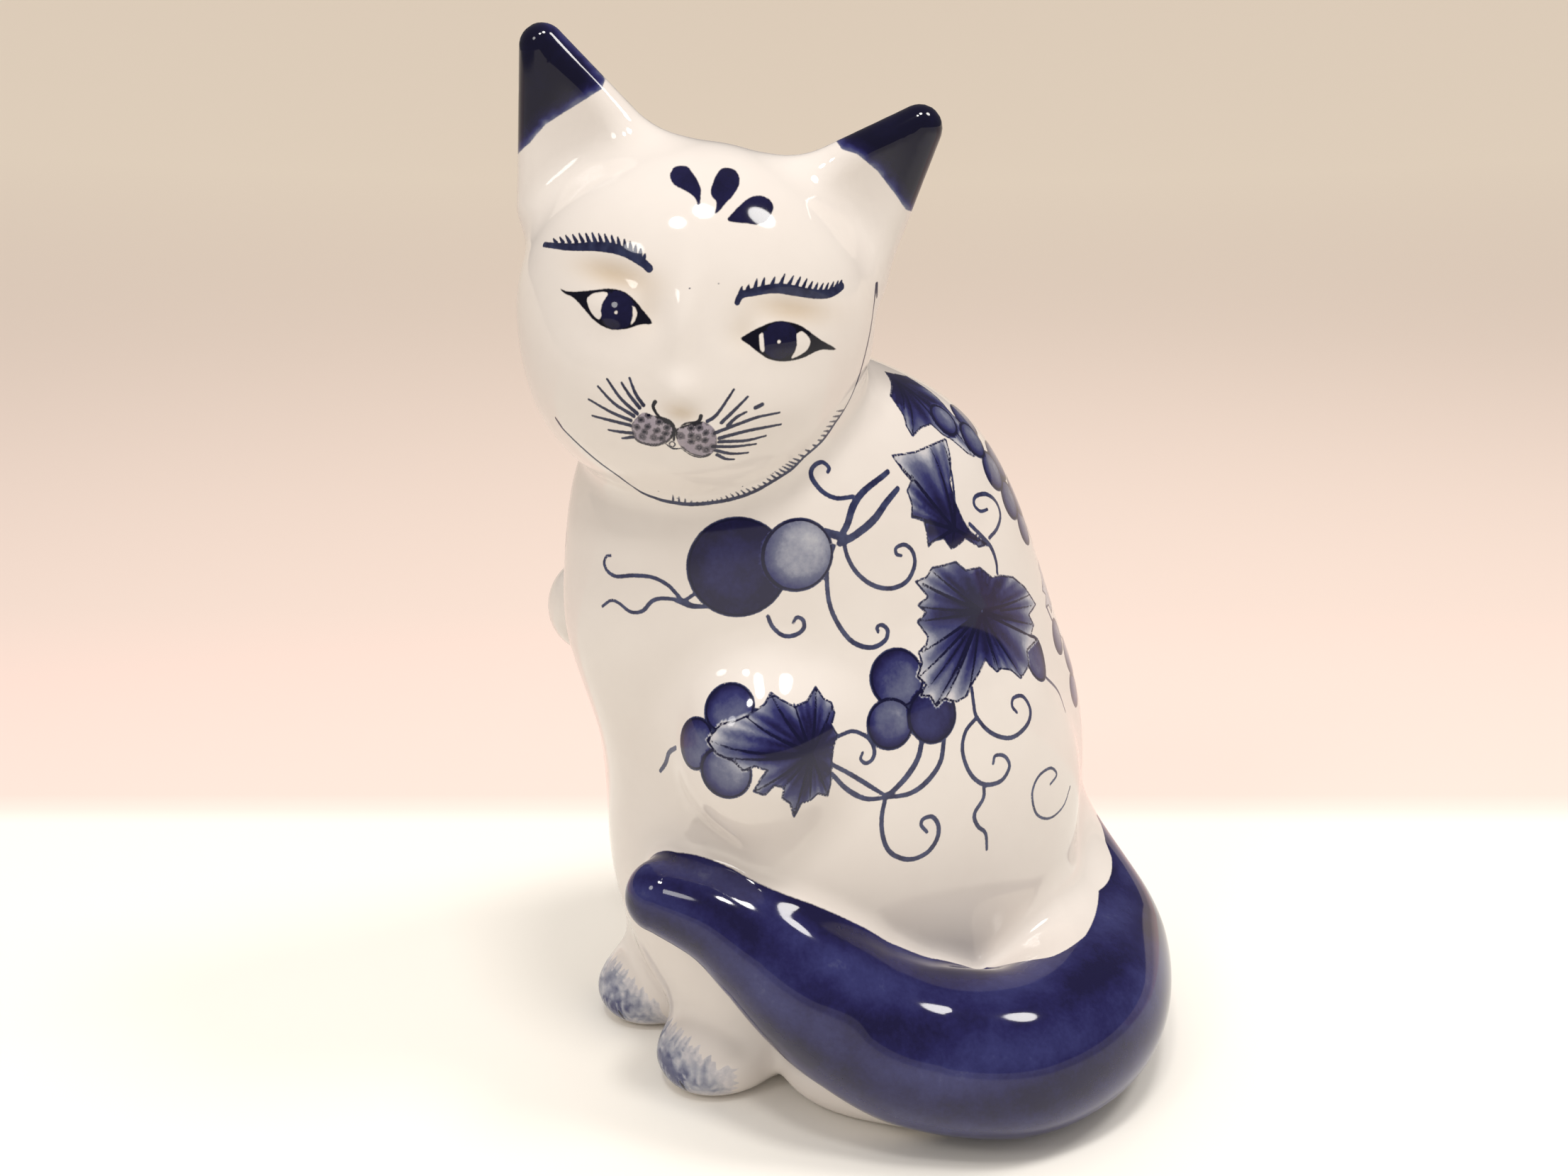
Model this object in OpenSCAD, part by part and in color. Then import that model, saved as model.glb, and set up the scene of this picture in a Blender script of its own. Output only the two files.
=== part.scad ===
// Seated porcelain cat with its head turned to its left and its tail wrapped round its left side.
// The cat faces -Y, its left is +X, and it stands on the plane z = 0.

/* [Size] */
// Height from the table to the tip of the taller ear
figure_height = 255; // [180:5:320]
// Thickness of the slip-cast shells
wall = 4; // [3:0.5:5]

/* [Body] */
// Width across the rump
rump_width = 96; // [90:1:102]
// Width of the seat, low down between the hind feet
seat_width = 100; // [94:1:102]
// Depth of the rump from front to back
rump_depth = 140; // [134:1:146]
// Width across the shoulders
shoulder_width = 82; // [78:1:88]
// Length of a thigh from knee to hip
thigh_length = 96; // [88:2:104]

/* [Head] */
// Width across the cheeks
head_width = 82; // [78:1:86]
// How far the head turns to the cat's left
head_turn = 59; // [50:1:68]
// How far the head tips towards its left shoulder
head_tilt = 11; // [6:1:16]
// Distance between the two ear tips
ear_spread = 82; // [78:1:87]

/* [Legs] */
// Distance between the two front paws
paw_spacing = 36; // [33:1:40]
// Thickness of a foreleg at the ankle
ankle_thickness = 25; // [23:1:28]
// Width of a front paw
paw_width = 29; // [26:1:32]

/* [Tail] */
// Thickness where the tail lies on the table
tail_thickness = 40; // [37:1:42]
// Thickness of the rounded tip
tip_thickness = 20; // [18:1:23]
// Height of the middle of the tip, where it rests on the foreleg
tip_height = 60; // [57:1:64]

/* [Base] */
// Diameter of the disc that closes the pouring hole
disc_diameter = 46; // [40:1:50]
// Diameter of the vent that lets the kiln air out
vent_diameter = 8; // [5:0.5:12]
// How far the disc is set up from the table
disc_recess = 1; // [0.5:0.5:1.5]

/* [Hidden] */

glaze = "#f2ebdf";
cobalt = "#2c3470";
midnight = "#171634";
bisque = "#d9cbb6";

design_height = 255;
size = figure_height / design_height;
// Middle of the figure's outline on the table, seen from the middle of the cat's body
outline_middle = [17.65, 2.63];

// Steps of the search for a surface point, and the longest ray it searches
search_steps = 12;
ray_length = 120;

// Rings and points round each ring of the two large castings
around = 48;
floor_thickness = 5;

// ---- Rounded masses: [middle, radii, rows of the matrix that turns a point into their own axes]
function upright() = [[1, 0, 0], [0, 1, 0], [0, 0, 1]];
function tipped(a) = [[1, 0, 0], [0, cos(a), sin(a)], [0, -sin(a), cos(a)]];
function swung(a) = [[cos(a), sin(a), 0], [-sin(a), cos(a), 0], [0, 0, 1]];

// Rough distance from p to an ellipsoid, negative inside it
function egg(p, mass) =
    let (q = mass[2] * (p - mass[0]),
         r = mass[1],
         near = norm([q.x / r.x, q.y / r.y, q.z / r.z]),
         steep = norm([q.x / r.x ^ 2, q.y / r.y ^ 2, q.z / r.z ^ 2]))
    near * (near - 1) / max(steep, 1e-6);

// Two distances joined with a soft fillet of width k
function melt(a, b, k) =
    let (h = max(0, min(1, 0.5 + 0.5 * (b - a) / k)))
    b * (1 - h) + a * h - k * h * (1 - h);

// Widths of the soft fillets between the masses, from broad to tight
broad = 20;
wide = 16;
soft = 14;
close = 12;
tight = 6;

rump = [[0, 9, 62], [rump_width / 2, rump_depth / 2, 80], upright()];
seat = [[2, 14, 24], [seat_width / 2, 58, 40], upright()];
ribs = [[0, -8, 124], [shoulder_width / 2, 63, 56], upright()];
shoulders = [[-2, -22, 150], [38, 41, 34], upright()];
thigh_tip = -25;
function thigh(side) = [[side * 36, 4, 68], [17, thigh_length / 2, 42], tipped(thigh_tip)];
left_thigh = thigh(1);
right_thigh = thigh(-1);
left_knee = [[34, -40, 96], [17, 19, 20], upright()];
right_knee = [[-38, -44, 114], [13, 15, 17], upright()];

body_form = function (p)
    let (core = melt(melt(egg(p, rump), egg(p, ribs), broad), egg(p, seat), wide),
         trunk = melt(core, egg(p, shoulders), close),
         left_side = melt(melt(trunk, egg(p, left_thigh), soft), egg(p, left_knee), close))
    melt(melt(left_side, egg(p, right_thigh), soft), egg(p, right_knee), tight);

// The head has its own axes: x to the right of somebody it looks at, y to the back, z to the crown
head_middle = [3, -38.5, 191.5];
skull = [[0, 0, 0], [head_width / 2, 37, 39], upright()];
muzzle = [[0, -15, -17], [27, 22, 19], upright()];
head_form = function (p) melt(egg(p, skull), egg(p, muzzle), wide);

// ---- Skins: rings of surface points, found along rays, joined into a closed solid
function reach(form, level, from, way, near, far, steps) =
    let (mid = (near + far) / 2)
    steps == 0 ? mid
    : form(from + mid * way) < level ? reach(form, level, from, way, mid, far, steps - 1)
    : reach(form, level, from, way, near, mid, steps - 1);

function unit(v) = v / norm(v);
function ring(form, level, from, ways) =
    [for (way = ways) from + reach(form, level, from, way, 0, ray_length, search_steps) * way];

function level_ways() = [for (i = [0:around - 1]) let (a = 360 * i / around) [cos(a), sin(a), 0]];
// Rays that climb from level to the pole as lift goes from 0 to 90 degrees
function climbing_ways(lift, pole) = [for (way = level_ways()) unit(way * cos(lift) + pole * sin(lift))];

module skin(rings) {
    n = len(rings[0]);
    last = len(rings) - 1;
    points = concat([for (r = rings) each r], [middle(rings[0]), middle(rings[last])]);
    foot = n * (last + 1);
    sides = [for (j = [0:last - 1], i = [0:n - 1])
        let (a = j * n + i, b = j * n + (i + 1) % n)
        each [[a, a + n, b], [b, a + n, b + n]]];
    ends = [for (i = [0:n - 1])
        let (k = (i + 1) % n)
        each [[foot, i, k], [foot + 1, last * n + k, last * n + i]]];
    polyhedron(points, concat(sides, ends));
}

function middle(points) = [for (k = [0:2]) sum([for (p = points) p[k]]) / len(points)];
function sum(list, i = 0) = i == len(list) ? 0 : list[i] + sum(list, i + 1);

// ---- Body: level rings up to the ribs, then rings that close over the shoulders towards the head
dome_middle = [0, -4, 108];
neck_pole = unit(head_middle - dome_middle);
body_steps = 20;
dome_steps = 12;

module body_skin(inset, bottom) {
    rise = (dome_middle.z - bottom) / body_steps;
    trunk = [for (j = [0:body_steps - 1])
        ring(body_form, -inset, [dome_middle.x, dome_middle.y, bottom + rise * j], level_ways())];
    dome = [for (j = [0:dome_steps])
        ring(body_form, -inset, dome_middle, climbing_ways(86 * j / dome_steps, neck_pole))];
    skin(concat(trunk, dome));
}

// ---- Head: rings from the chin pole to the crown pole
head_steps = 26;
module in_head() {
    translate(head_middle) rotate([0, 0, head_turn]) rotate([0, head_tilt, 0]) children();
}

module head_skin(inset) {
    skin([for (j = [1:head_steps - 1])
        ring(head_form, -inset, [0, 0, 0], climbing_ways(180 * j / head_steps - 90, [0, 0, 1]))]);
}

// Every casting is trimmed where it seats on its neighbour and kept as one faceted skin
module casting() {
    resize([0, 0, 0]) children();
}

module placed() {
    scale(size) translate([-outline_middle.x, -outline_middle.y, 0]) children();
}

module above_table() {
    span = 400;
    intersection() {
        children();
        translate([-span / 2, -span / 2, 0]) cube([span, span, span]);
    }
}

// ---- Tail: [middle, radius] along its length, from the rump to the tip
tail_r = tail_thickness / 2;
tip_r = tip_thickness / 2;
tail_route = [
    [[-6, 50, 42], tail_r - 2],
    [[8, 63, 34], tail_r - 2],
    [[27, 67, 25], tail_r - 2.5],
    [[47, 59, 19.5], tail_r - 2],
    [[68, 34, 19.5], tail_r],
    [[74, 8, 20], tail_r - 0.3],
    [[64, -13, 23], tail_r - 0.8],
    [[55, -26, 30.5], tail_r - 2],
    [[48, -34, 39], tail_r - 3],
    [[40, -42, 48], tail_r - 5],
    [[32, -50, tip_height - 5], (tail_r - 5 + tip_r) / 2],
    [[23, -60, tip_height], tip_r],
];

tail_around = 20;
tail_steps = 4;
tip_lifts = [25, 50, 72];

function eased(a, b, c, d, t) =
    0.5 * (2 * b + (c - a) * t + (2 * a - 5 * b + 4 * c - d) * t ^ 2 + (3 * b - a - 3 * c + d) * t ^ 3);
function stop_at(route, i) =
    i < 0 ? 2 * route[0] - route[1]
    : i >= len(route) ? 2 * route[len(route) - 1] - route[len(route) - 2]
    : route[i];
function smooth(route, steps) = concat(
    [for (i = [0:len(route) - 2], j = [0:steps - 1])
        let (a = stop_at(route, i - 1), b = route[i], c = route[i + 1], d = stop_at(route, i + 2))
        [eased(a[0], b[0], c[0], d[0], j / steps), eased(a[1], b[1], c[1], d[1], j / steps)]],
    [route[len(route) - 1]]);

function hoop(centre, heading, radius) =
    let (side = unit(cross(heading, [0, 0, 1])), up = cross(side, heading))
    [for (i = [0:tail_around - 1])
        let (a = 360 * i / tail_around)
        centre + radius * (cos(a) * side - sin(a) * up)];

module tail_skin(inset) {
    path = smooth(tail_route, tail_steps);
    last = len(path) - 1;
    along = [for (i = [0:last])
        unit(path[min(i + 1, last)][0] - path[max(i - 1, 0)][0])];
    tip = path[last];
    skin(concat(
        [for (i = [0:last]) hoop(path[i][0], along[i], path[i][1] - inset)],
        [for (a = tip_lifts)
            hoop(tip[0] + along[last] * (tip[1] - inset) * sin(a), along[last], (tip[1] - inset) * cos(a))]));
}

// ---- Legs and feet
module ball(middle, radii) {
    translate(middle) scale(radii) sphere(r = 1, $fn = 28);
}

// Middles of a foreleg's joints, seen from the side: [y, z]. The two legs lean together at the shoulder
shoulder_radius = 15.5;
shoulder_lean = 0.94;
shoulder_place = [-39, 98];
shin_place = [-37, 40];
ankle_place = [-38, 14];
paw_place = [-43, 8];
paw_length = 34;
paw_height = 11;

module foreleg_form(side) {
    x = side * paw_spacing / 2;
    shoulder = [x * shoulder_lean, each shoulder_place];
    shin = [x, each shin_place];
    ankle = [x, each ankle_place];
    shank = [1, 1, 1] * ankle_thickness / 2;
    hull() {
        ball(shoulder, [1, 1, 1] * shoulder_radius);
        ball(shin, shank);
    }
    hull() {
        ball(shin, shank);
        ball(ankle, shank);
    }
    ball([x, each paw_place], [paw_width / 2, paw_length / 2, paw_height]);
}

// The left hind foot lies along the tail, and the right one is tucked in beside the belly
left_foot_middle = [52, -15, 8];
left_foot_turn = -44;
right_foot_middle = [-44, -16, 8];
right_foot_turn = 24;
foot_radii = [11, 26, 10];

module hind_foot_form(side) {
    translate(side > 0 ? left_foot_middle : right_foot_middle)
        rotate([0, 0, side > 0 ? left_foot_turn : right_foot_turn])
            ball([0, 0, 0], foot_radii);
}

// ---- Ears, in the head's axes: a rounded triangle from the tip to the two corners of its root
ear_tip_height = 52.5;
ear_tip_radius = 4;
ear_inner_corner = [17, 1, 30];
ear_inner_radius = 8;
ear_outer_corner = [37, 2, 19];
ear_outer_radius = 7.5;

module ear_form(side) {
    sideways = side > 0 ? [0, 0, 0] : [1, 0, 0];
    mirror(sideways) hull() {
        ball([ear_spread / 2, 1, ear_tip_height], [1, 1, 1] * ear_tip_radius);
        ball(ear_inner_corner, [1, 1, 1] * ear_inner_radius);
        ball(ear_outer_corner, [1, 1, 1] * ear_outer_radius);
    }
}

module ear(side) {
    color(midnight) placed() casting() in_head() difference() {
        ear_form(side);
        head_skin(0);
    }
}

// The pouring hole in the seat, and the way through from the body to the head
disc_middle = [0, rump[0].y - 8];
neck_hole = 40;
neck_length = 60;

module body_shell() {
    color(glaze) placed() casting() difference() {
        body_skin(0, 0);
        body_skin(wall, floor_thickness);
        translate([disc_middle.x, disc_middle.y, -1])
            cylinder(h = floor_thickness + 2, d = disc_diameter, $fn = 48);
        translate(head_middle) rotate([0, acos(neck_pole.z), atan2(neck_pole.y, neck_pole.x)])
            translate([0, 0, -neck_length]) cylinder(h = neck_length, d = neck_hole, $fn = 40);
    }
}

module head_shell() {
    color(glaze) placed() casting() difference() {
        in_head() head_skin(0);
        in_head() head_skin(wall);
        body_skin(0, 0);
    }
}

module foreleg(side) {
    color(glaze) placed() casting() difference() {
        above_table() foreleg_form(side);
        body_skin(0, 0);
    }
}

module hind_foot(side) {
    color(glaze) placed() casting() difference() {
        above_table() hind_foot_form(side);
        body_skin(0, 0);
    }
}

module tail() {
    color(cobalt) placed() casting() difference() {
        above_table() tail_skin(0);
        tail_skin(wall);
        body_skin(0, 0);
        above_table() foreleg_form(1);
        above_table() hind_foot_form(1);
    }
}

module base_disc() {
    color(bisque) placed() translate([disc_middle.x, disc_middle.y, disc_recess]) difference() {
        cylinder(h = floor_thickness - disc_recess, d = disc_diameter);
        translate([0, 0, -1]) cylinder(h = floor_thickness + 2, d = vent_diameter);
    }
}

body_shell();
head_shell();
ear(1);  // left_ear
ear(-1);  // right_ear
foreleg(1);  // left_foreleg
foreleg(-1);  // right_foreleg
hind_foot(1);  // left_hind_foot
hind_foot(-1);  // right_hind_foot
tail();
base_disc();
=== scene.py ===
import math

import bpy
import numpy as np
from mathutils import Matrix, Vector


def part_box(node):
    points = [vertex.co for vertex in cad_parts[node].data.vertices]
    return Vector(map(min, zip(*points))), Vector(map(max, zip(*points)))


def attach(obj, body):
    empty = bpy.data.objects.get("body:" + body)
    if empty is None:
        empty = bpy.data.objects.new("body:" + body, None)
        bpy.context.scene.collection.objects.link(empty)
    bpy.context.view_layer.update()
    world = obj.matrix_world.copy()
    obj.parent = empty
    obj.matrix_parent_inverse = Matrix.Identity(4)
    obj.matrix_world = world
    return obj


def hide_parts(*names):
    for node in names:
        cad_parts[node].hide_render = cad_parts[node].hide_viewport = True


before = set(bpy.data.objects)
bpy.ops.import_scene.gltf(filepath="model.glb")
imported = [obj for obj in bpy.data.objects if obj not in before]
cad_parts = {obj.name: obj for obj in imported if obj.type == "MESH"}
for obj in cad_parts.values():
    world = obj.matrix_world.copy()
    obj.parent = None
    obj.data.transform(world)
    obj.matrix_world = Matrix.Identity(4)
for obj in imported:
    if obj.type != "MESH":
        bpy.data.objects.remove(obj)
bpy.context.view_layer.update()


# ---------------------------------------------------------------- place
# The cat is shaped in its own millimetres and set down where the clay disc under it is.

DISC_WIDTH, DISC_MIDDLE, DISC_LOW = 46.0, (0.0, 1.0), 1.0
disc_low, disc_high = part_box("base_disc")
MM = (disc_high[0] - disc_low[0]) / DISC_WIDTH
HOME = np.array([
    (disc_low[0] + disc_high[0]) / 2 - DISC_MIDDLE[0] * MM,
    (disc_low[1] + disc_high[1]) / 2 - DISC_MIDDLE[1] * MM,
    disc_low[2] - DISC_LOW * MM])


# ---------------------------------------------------------------- form
# Distances and points are in millimetres in the cat's own frame: the body's middle plane is x = 0,
# the cat faces -y, and the table is z = 0.


def turned(x=0.0, y=0.0, z=0.0):
    """Columns are the axes of a mass turned by these degrees about x, then y, then z."""
    a, b, c = np.radians([x, y, z])
    about_x = np.array([[1, 0, 0], [0, np.cos(a), -np.sin(a)], [0, np.sin(a), np.cos(a)]])
    about_y = np.array([[np.cos(b), 0, np.sin(b)], [0, 1, 0], [-np.sin(b), 0, np.cos(b)]])
    about_z = np.array([[np.cos(c), -np.sin(c), 0], [np.sin(c), np.cos(c), 0], [0, 0, 1]])
    return (about_z @ about_y @ about_x).astype(np.float32)


def egg(p, middle, radii, axes=None):
    """Rough distance to an ellipsoid, negative inside."""
    q = p - np.asarray(middle, np.float32)
    if axes is not None:
        q = q @ axes
    r = np.asarray(radii, np.float32)
    near = np.linalg.norm(q / r, axis=1)
    steep = np.linalg.norm(q / (r * r), axis=1)
    return near * (near - 1) / np.maximum(steep, 1e-6)


def bar(p, a, b, ra, rb):
    """Distance to a bar with round ends whose radius runs from ra to rb."""
    a, b = np.asarray(a, np.float32), np.asarray(b, np.float32)
    d = b - a
    t = np.clip(((p - a) @ d) / (d @ d), 0, 1)
    return np.linalg.norm(p - a - t[:, None] * d, axis=1) - (ra + (rb - ra) * t)


def slab(p, a, b, c, ra, rb, rc):
    """Distance to a rounded triangle whose thickness runs between its corners' radii."""
    a, b, c = (np.asarray(v, np.float32) for v in (a, b, c))
    across, down = b - a, c - a
    face = np.cross(across, down)
    face /= np.linalg.norm(face)
    q = p - a
    g = np.array([[across @ across, across @ down], [across @ down, down @ down]])
    weights = np.stack([q @ across, q @ down], 1) @ np.linalg.inv(g)
    wb, wc = weights[:, 0], weights[:, 1]
    wa = 1 - wb - wc
    inside = (wa >= 0) & (wb >= 0) & (wc >= 0)
    flat = np.abs(q @ face) - (wa * ra + wb * rb + wc * rc)
    edges = np.minimum(np.minimum(bar(p, a, b, ra, rb), bar(p, b, c, rb, rc)), bar(p, c, a, rc, ra))
    return np.where(inside, flat, edges)


def melt(a, b, k):
    """Two distances joined with a soft fillet of width k."""
    h = np.clip(0.5 + 0.5 * (b - a) / k, 0, 1)
    return b * (1 - h) + a * h - k * h * (1 - h)


def bump(x, z, middle_x, middle_z, wide, tall):
    """A soft round bump, 1 at its middle."""
    return np.exp(-((x - middle_x) / wide) ** 2 - ((z - middle_z) / tall) ** 2)


def catmull_rom(route):
    """The route's points with one more beyond each end, as the curve needs."""
    r = np.asarray(route, float)
    return np.vstack([2 * r[0] - r[1], r, 2 * r[-1] - r[-2]])


def eased(route, steps):
    """Catmull-Rom curve through the route's points, whatever columns they have."""
    r = catmull_rom(route)
    t = np.linspace(0, 1, steps, endpoint=False)[:, None]
    runs = []
    for a, b, c, d in zip(r[:-3], r[1:-2], r[2:-1], r[3:]):
        runs.append(0.5 * (2 * b + (c - a) * t + (2 * a - 5 * b + 4 * c - d) * t ** 2
                           + (3 * b - a - 3 * c + d) * t ** 3))
    return np.vstack(runs + [r[-2:-1]])


HEAD_MIDDLE = np.array([3.0, -38.5, 191.5], np.float32)
HEAD_TURN, HEAD_TILT = 59.0, 11.0
HEAD_AXES = turned(z=HEAD_TURN) @ turned(y=HEAD_TILT)

TRUNK = [  # middle, half-widths, tip about x in degrees, fillet to the masses before
    ((0, 9, 62), (48, 70, 80), 0, 0),             # belly and back
    ((0, -8, 124), (41, 63, 56), 0, 20),          # chest
    ((2, 14, 24), (50, 58, 40), 0, 16),           # seat
    ((-4, -22, 148), (40, 41, 35), 0, 12),        # shoulders
    ((36, 4, 68), (17, 48, 42), -25, 14),         # left haunch
    ((34.3, -40.3, 96), (17, 19, 20), 0, 11),     # left knee
    ((-36, 4, 68), (17, 48, 42), -25, 14),        # right haunch
    ((-36.5, -49.5, 113), (11, 12.5, 13), 0, 3)]  # right knee
LEG_X, PAW_MIDDLE = 18, (-43, 8)
HIND_FEET = {1: ((52, -15, 8), -44), -1: ((-44, -16, 8), 24)}  # middle, turn about z
HIND_FOOT_RADII = (11, 26, 10)
TAIL_ROUTE = [  # x, y, z, radius
    (-6, 50, 42, 18), (8, 63, 34, 18), (27, 67, 25, 17.5), (47, 59, 19.5, 18), (66.8, 34.7, 19.5, 20),
    (72.5, 8.9, 20, 19.7), (62.5, -12.1, 23, 19.2), (53.8, -25.3, 30.5, 18), (48, -34, 39, 17), (40, -42, 48, 15),
    (32, -50, 54.4, 12.3), (22.6, -60.8, 58.3, 8.9)]
TAIL_STEPS = 4
TAIL_PATH = eased(TAIL_ROUTE, TAIL_STEPS).astype(np.float32)
TAIL_TERMS = np.array([  # what the powers of t are multiplied by between two stops, from the four stops round them
    [0, 1, 0, 0], [-0.5, 0, 0.5, 0], [1, -2.5, 2, -0.5], [-0.5, 1.5, -1.5, 0.5]])
RELIEF = [  # the face in the head's axes: x, z, half-widths, how far it stands out
    (-17.5, 10.0, 7.5, 3.2, -0.9), (20.0, 10.0, 7.5, 3.2, -0.9), (-9.0, 4.0, 3.5, 4.0, -0.8),
    (10.5, 3.5, 3.5, 4.0, -0.8), (-16.0, 2.8, 5.0, 3.5, 0.8), (19.5, 2.8, 5.0, 3.5, 0.8),
    (-1.5, 4.0, 3.2, 9.0, 1.3), (0.5, -10.5, 4.2, 4.0, 2.0), (-4.0, -19.2, 4.3, 3.6, 1.3),
    (5.8, -19.4, 4.3, 3.6, 1.3), (1.0, -28.0, 6.0, 3.5, 0.9), (-19.0, -11.0, 9.0, 8.0, 0.8),
    (22.0, -10.0, 9.0, 8.0, 0.8)]
EARS = {  # tip, inner corner and outer corner, in the head's axes
    1: ((41.2, 1, 50.2), (17, 1, 29.5), (34.5, 2, 18)), -1: ((-43.2, 1, 51), (-17, 1, 29.5), (-37.8, 2, 18))}
EAR_RADII = 5.2, 8, 6.5
LIMB_FILLETS = {"left_foreleg": 7, "right_foreleg": 7, "left_hind_foot": 6, "right_hind_foot": 6}
EAR_FILLET, NECK_FILLET, FOOT_ROUNDING = 8, 5, 1.5
TAIL_FILLET, ROOT_FILLET, ROOT_FROM, ROOT_OVER = 6, 10, 8, 30  # the tail's fillet, what its root adds, and where
DISC_SEAT_RADIUS, DISC_SEAT_TOP, SEAT_ROUNDING = 23.5, 5.3, 0.8


def in_head(p):
    """x to the right of somebody the cat looks at, y to the back of the head, z to the crown."""
    return (p - HEAD_MIDDLE) @ HEAD_AXES


def trunk_form(p):
    d = None
    for middle, radii, tip, fillet in TRUNK:
        mass = egg(p, middle, radii, turned(x=tip) if tip else None)
        d = mass if d is None else melt(d, mass, fillet)
    return d


def foreleg_form(p, side):
    x = side * LEG_X
    d = bar(p, (x * 0.94, -39, 98), (x, -37, 40), 17, 12.5)
    d = np.minimum(d, bar(p, (x, -37, 40), (x, -38, 14), 12.5, 12.5))
    return melt(d, egg(p, (x, *PAW_MIDDLE), (14.5, 17, 11)), 8)


def hind_foot_form(p, side):
    middle, turn = HIND_FEET[side]
    return egg(p, middle, HIND_FOOT_RADII, turned(z=turn))


def tail_nearest(p):
    """Stop number (with its fraction), middle, direction and radius of the tail nearest to each point."""
    best, stop = np.full(len(p), 1e6), np.zeros(len(p))
    for i, (a, b) in enumerate(zip(TAIL_PATH[:-1], TAIL_PATH[1:])):
        d = b[:3] - a[:3]
        t = np.clip((p - a[:3]) @ d / (d @ d), 0, 1)
        gap = np.linalg.norm(p - a[:3] - t[:, None] * d, axis=1) - a[3] - (b[3] - a[3]) * t
        nearer = gap < best
        best[nearer], stop[nearer] = gap[nearer], ((i + t) / TAIL_STEPS)[nearer]
    r = catmull_rom(TAIL_ROUTE)
    terms = np.array([TAIL_TERMS @ r[k:k + 4] for k in range(len(r) - 3)])
    last = len(TAIL_ROUTE) - 1
    for _ in range(3):
        k = np.minimum(stop.astype(int), last - 1)
        t = (stop - k)[:, None]
        c0, c1, c2, c3 = (terms[k, n] for n in range(4))
        at = c0 + t * (c1 + t * (c2 + t * c3))
        way = (c1 + t * (2 * c2 + 3 * t * c3))[:, :3]
        bend = (2 * c2 + 6 * t * c3)[:, :3]
        speed = (way ** 2).sum(1)
        off = at[:, :3] - p
        change = np.maximum(speed + (off * bend).sum(1), 0.4 * speed)
        stop = np.clip(stop - (off * way).sum(1) / change, 0, last)
    return stop, at[:, :3], way, at[:, 3]


def tail_form(p):
    """Distance to the tail, whose thickness follows the nearest point of its path."""
    d = np.full(len(p), 60, np.float32)
    near = np.flatnonzero(p[:, 2] < 95)
    if len(near):
        _, middle, _, radius = tail_nearest(p[near])
        d[near] = np.linalg.norm(p[near] - middle, axis=1) - radius
    return d


def skull_form(q):
    d = melt(egg(q, (0, 0, 0), (41, 37, 39)), egg(q, (0, -15, -17), (27, 22, 19)), 16)
    front = np.flatnonzero(q[:, 1] < -8)
    f = q[front]
    lift = np.zeros(len(f), q.dtype)
    for x, z, wide, tall, out in RELIEF:
        lift += out * bump(f[:, 0], f[:, 2], x, z, wide, tall)
    d[front] -= lift * np.clip((-8 - f[:, 1]) / 12, 0, 1)
    return d


def ear_form(q, side):
    dish = bump(q[:, 0], q[:, 2], side * 33, 33, 7, 10)
    return slab(q, *EARS[side], *EAR_RADII) + 2.2 * dish * np.clip(-q[:, 1] / 5, 0, 1)


def head_form(q):
    return melt(melt(skull_form(q), ear_form(q, 1), EAR_FILLET), ear_form(q, -1), EAR_FILLET)


def piece_distances(p):
    q = in_head(p)
    return {
        "body_shell": trunk_form(p), "head_shell": skull_form(q),
        "left_ear": ear_form(q, 1), "right_ear": ear_form(q, -1),
        "left_foreleg": foreleg_form(p, 1), "right_foreleg": foreleg_form(p, -1),
        "left_hind_foot": hind_foot_form(p, 1), "right_hind_foot": hind_foot_form(p, -1),
        "tail": tail_form(p)}


def cat_form(p):
    """Distance to the whole glazed surface."""
    d = piece_distances(p)
    body = d["body_shell"]
    for name, fillet in LIMB_FILLETS.items():
        body = melt(body, d[name], fillet)
    tail_fillet = TAIL_FILLET + ROOT_FILLET * np.clip((p[:, 1] - ROOT_FROM) / ROOT_OVER, 0, 1)
    body = melt(body, d["tail"], tail_fillet)
    head = melt(melt(d["head_shell"], d["left_ear"], EAR_FILLET), d["right_ear"], EAR_FILLET)
    whole = melt(body, head, NECK_FILLET)
    whole = -melt(-whole, p[:, 2], FOOT_ROUNDING)
    across = np.hypot(p[:, 0] - DISC_MIDDLE[0], p[:, 1] - DISC_MIDDLE[1])
    seat = np.maximum(across - DISC_SEAT_RADIUS, p[:, 2] - DISC_SEAT_TOP)
    return -melt(-whole, seat, SEAT_ROUNDING)


# ---------------------------------------------------------------- mesh

GRID = 1.6
LOW, HIGH = np.array([-62.0, -86.0, -3.0]), np.array([100.0, 92.0, 260.0])
COARSE = 4  # grid steps to a coarse one
BAND = 9  # the distance is worked out on the fine grid this near the surface
SPREAD = np.array([[1, -1, -1], [-1, -1, 1], [-1, 1, -1], [1, 1, 1]], float)


def in_chunks(function, p, size=120000):
    return np.concatenate([function(p[i:i + size]) for i in range(0, len(p), size)])


def distance(p):
    return in_chunks(cat_form, p)


def rough_distance(p):
    return in_chunks(lambda q: cat_form(q.astype(np.float32)), p)


def slope(p, reach=0.15):
    """Direction in which the distance grows, from four samples round each point."""
    g = np.zeros(p.shape)
    for corner in SPREAD:
        g += corner * distance(p + corner * reach)[:, None]
    return g / (4 * reach)


def unit(v):
    return v / np.linalg.norm(v, axis=-1, keepdims=True)


def settle(p, rounds=2):
    """Points moved along the slope onto the glazed surface."""
    for _ in range(rounds):
        g = slope(p)
        step = distance(p)[:, None] * g / np.maximum((g * g).sum(1, keepdims=True), 0.05)
        p = p - np.clip(step, -1.5, 1.5)
    return p


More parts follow.
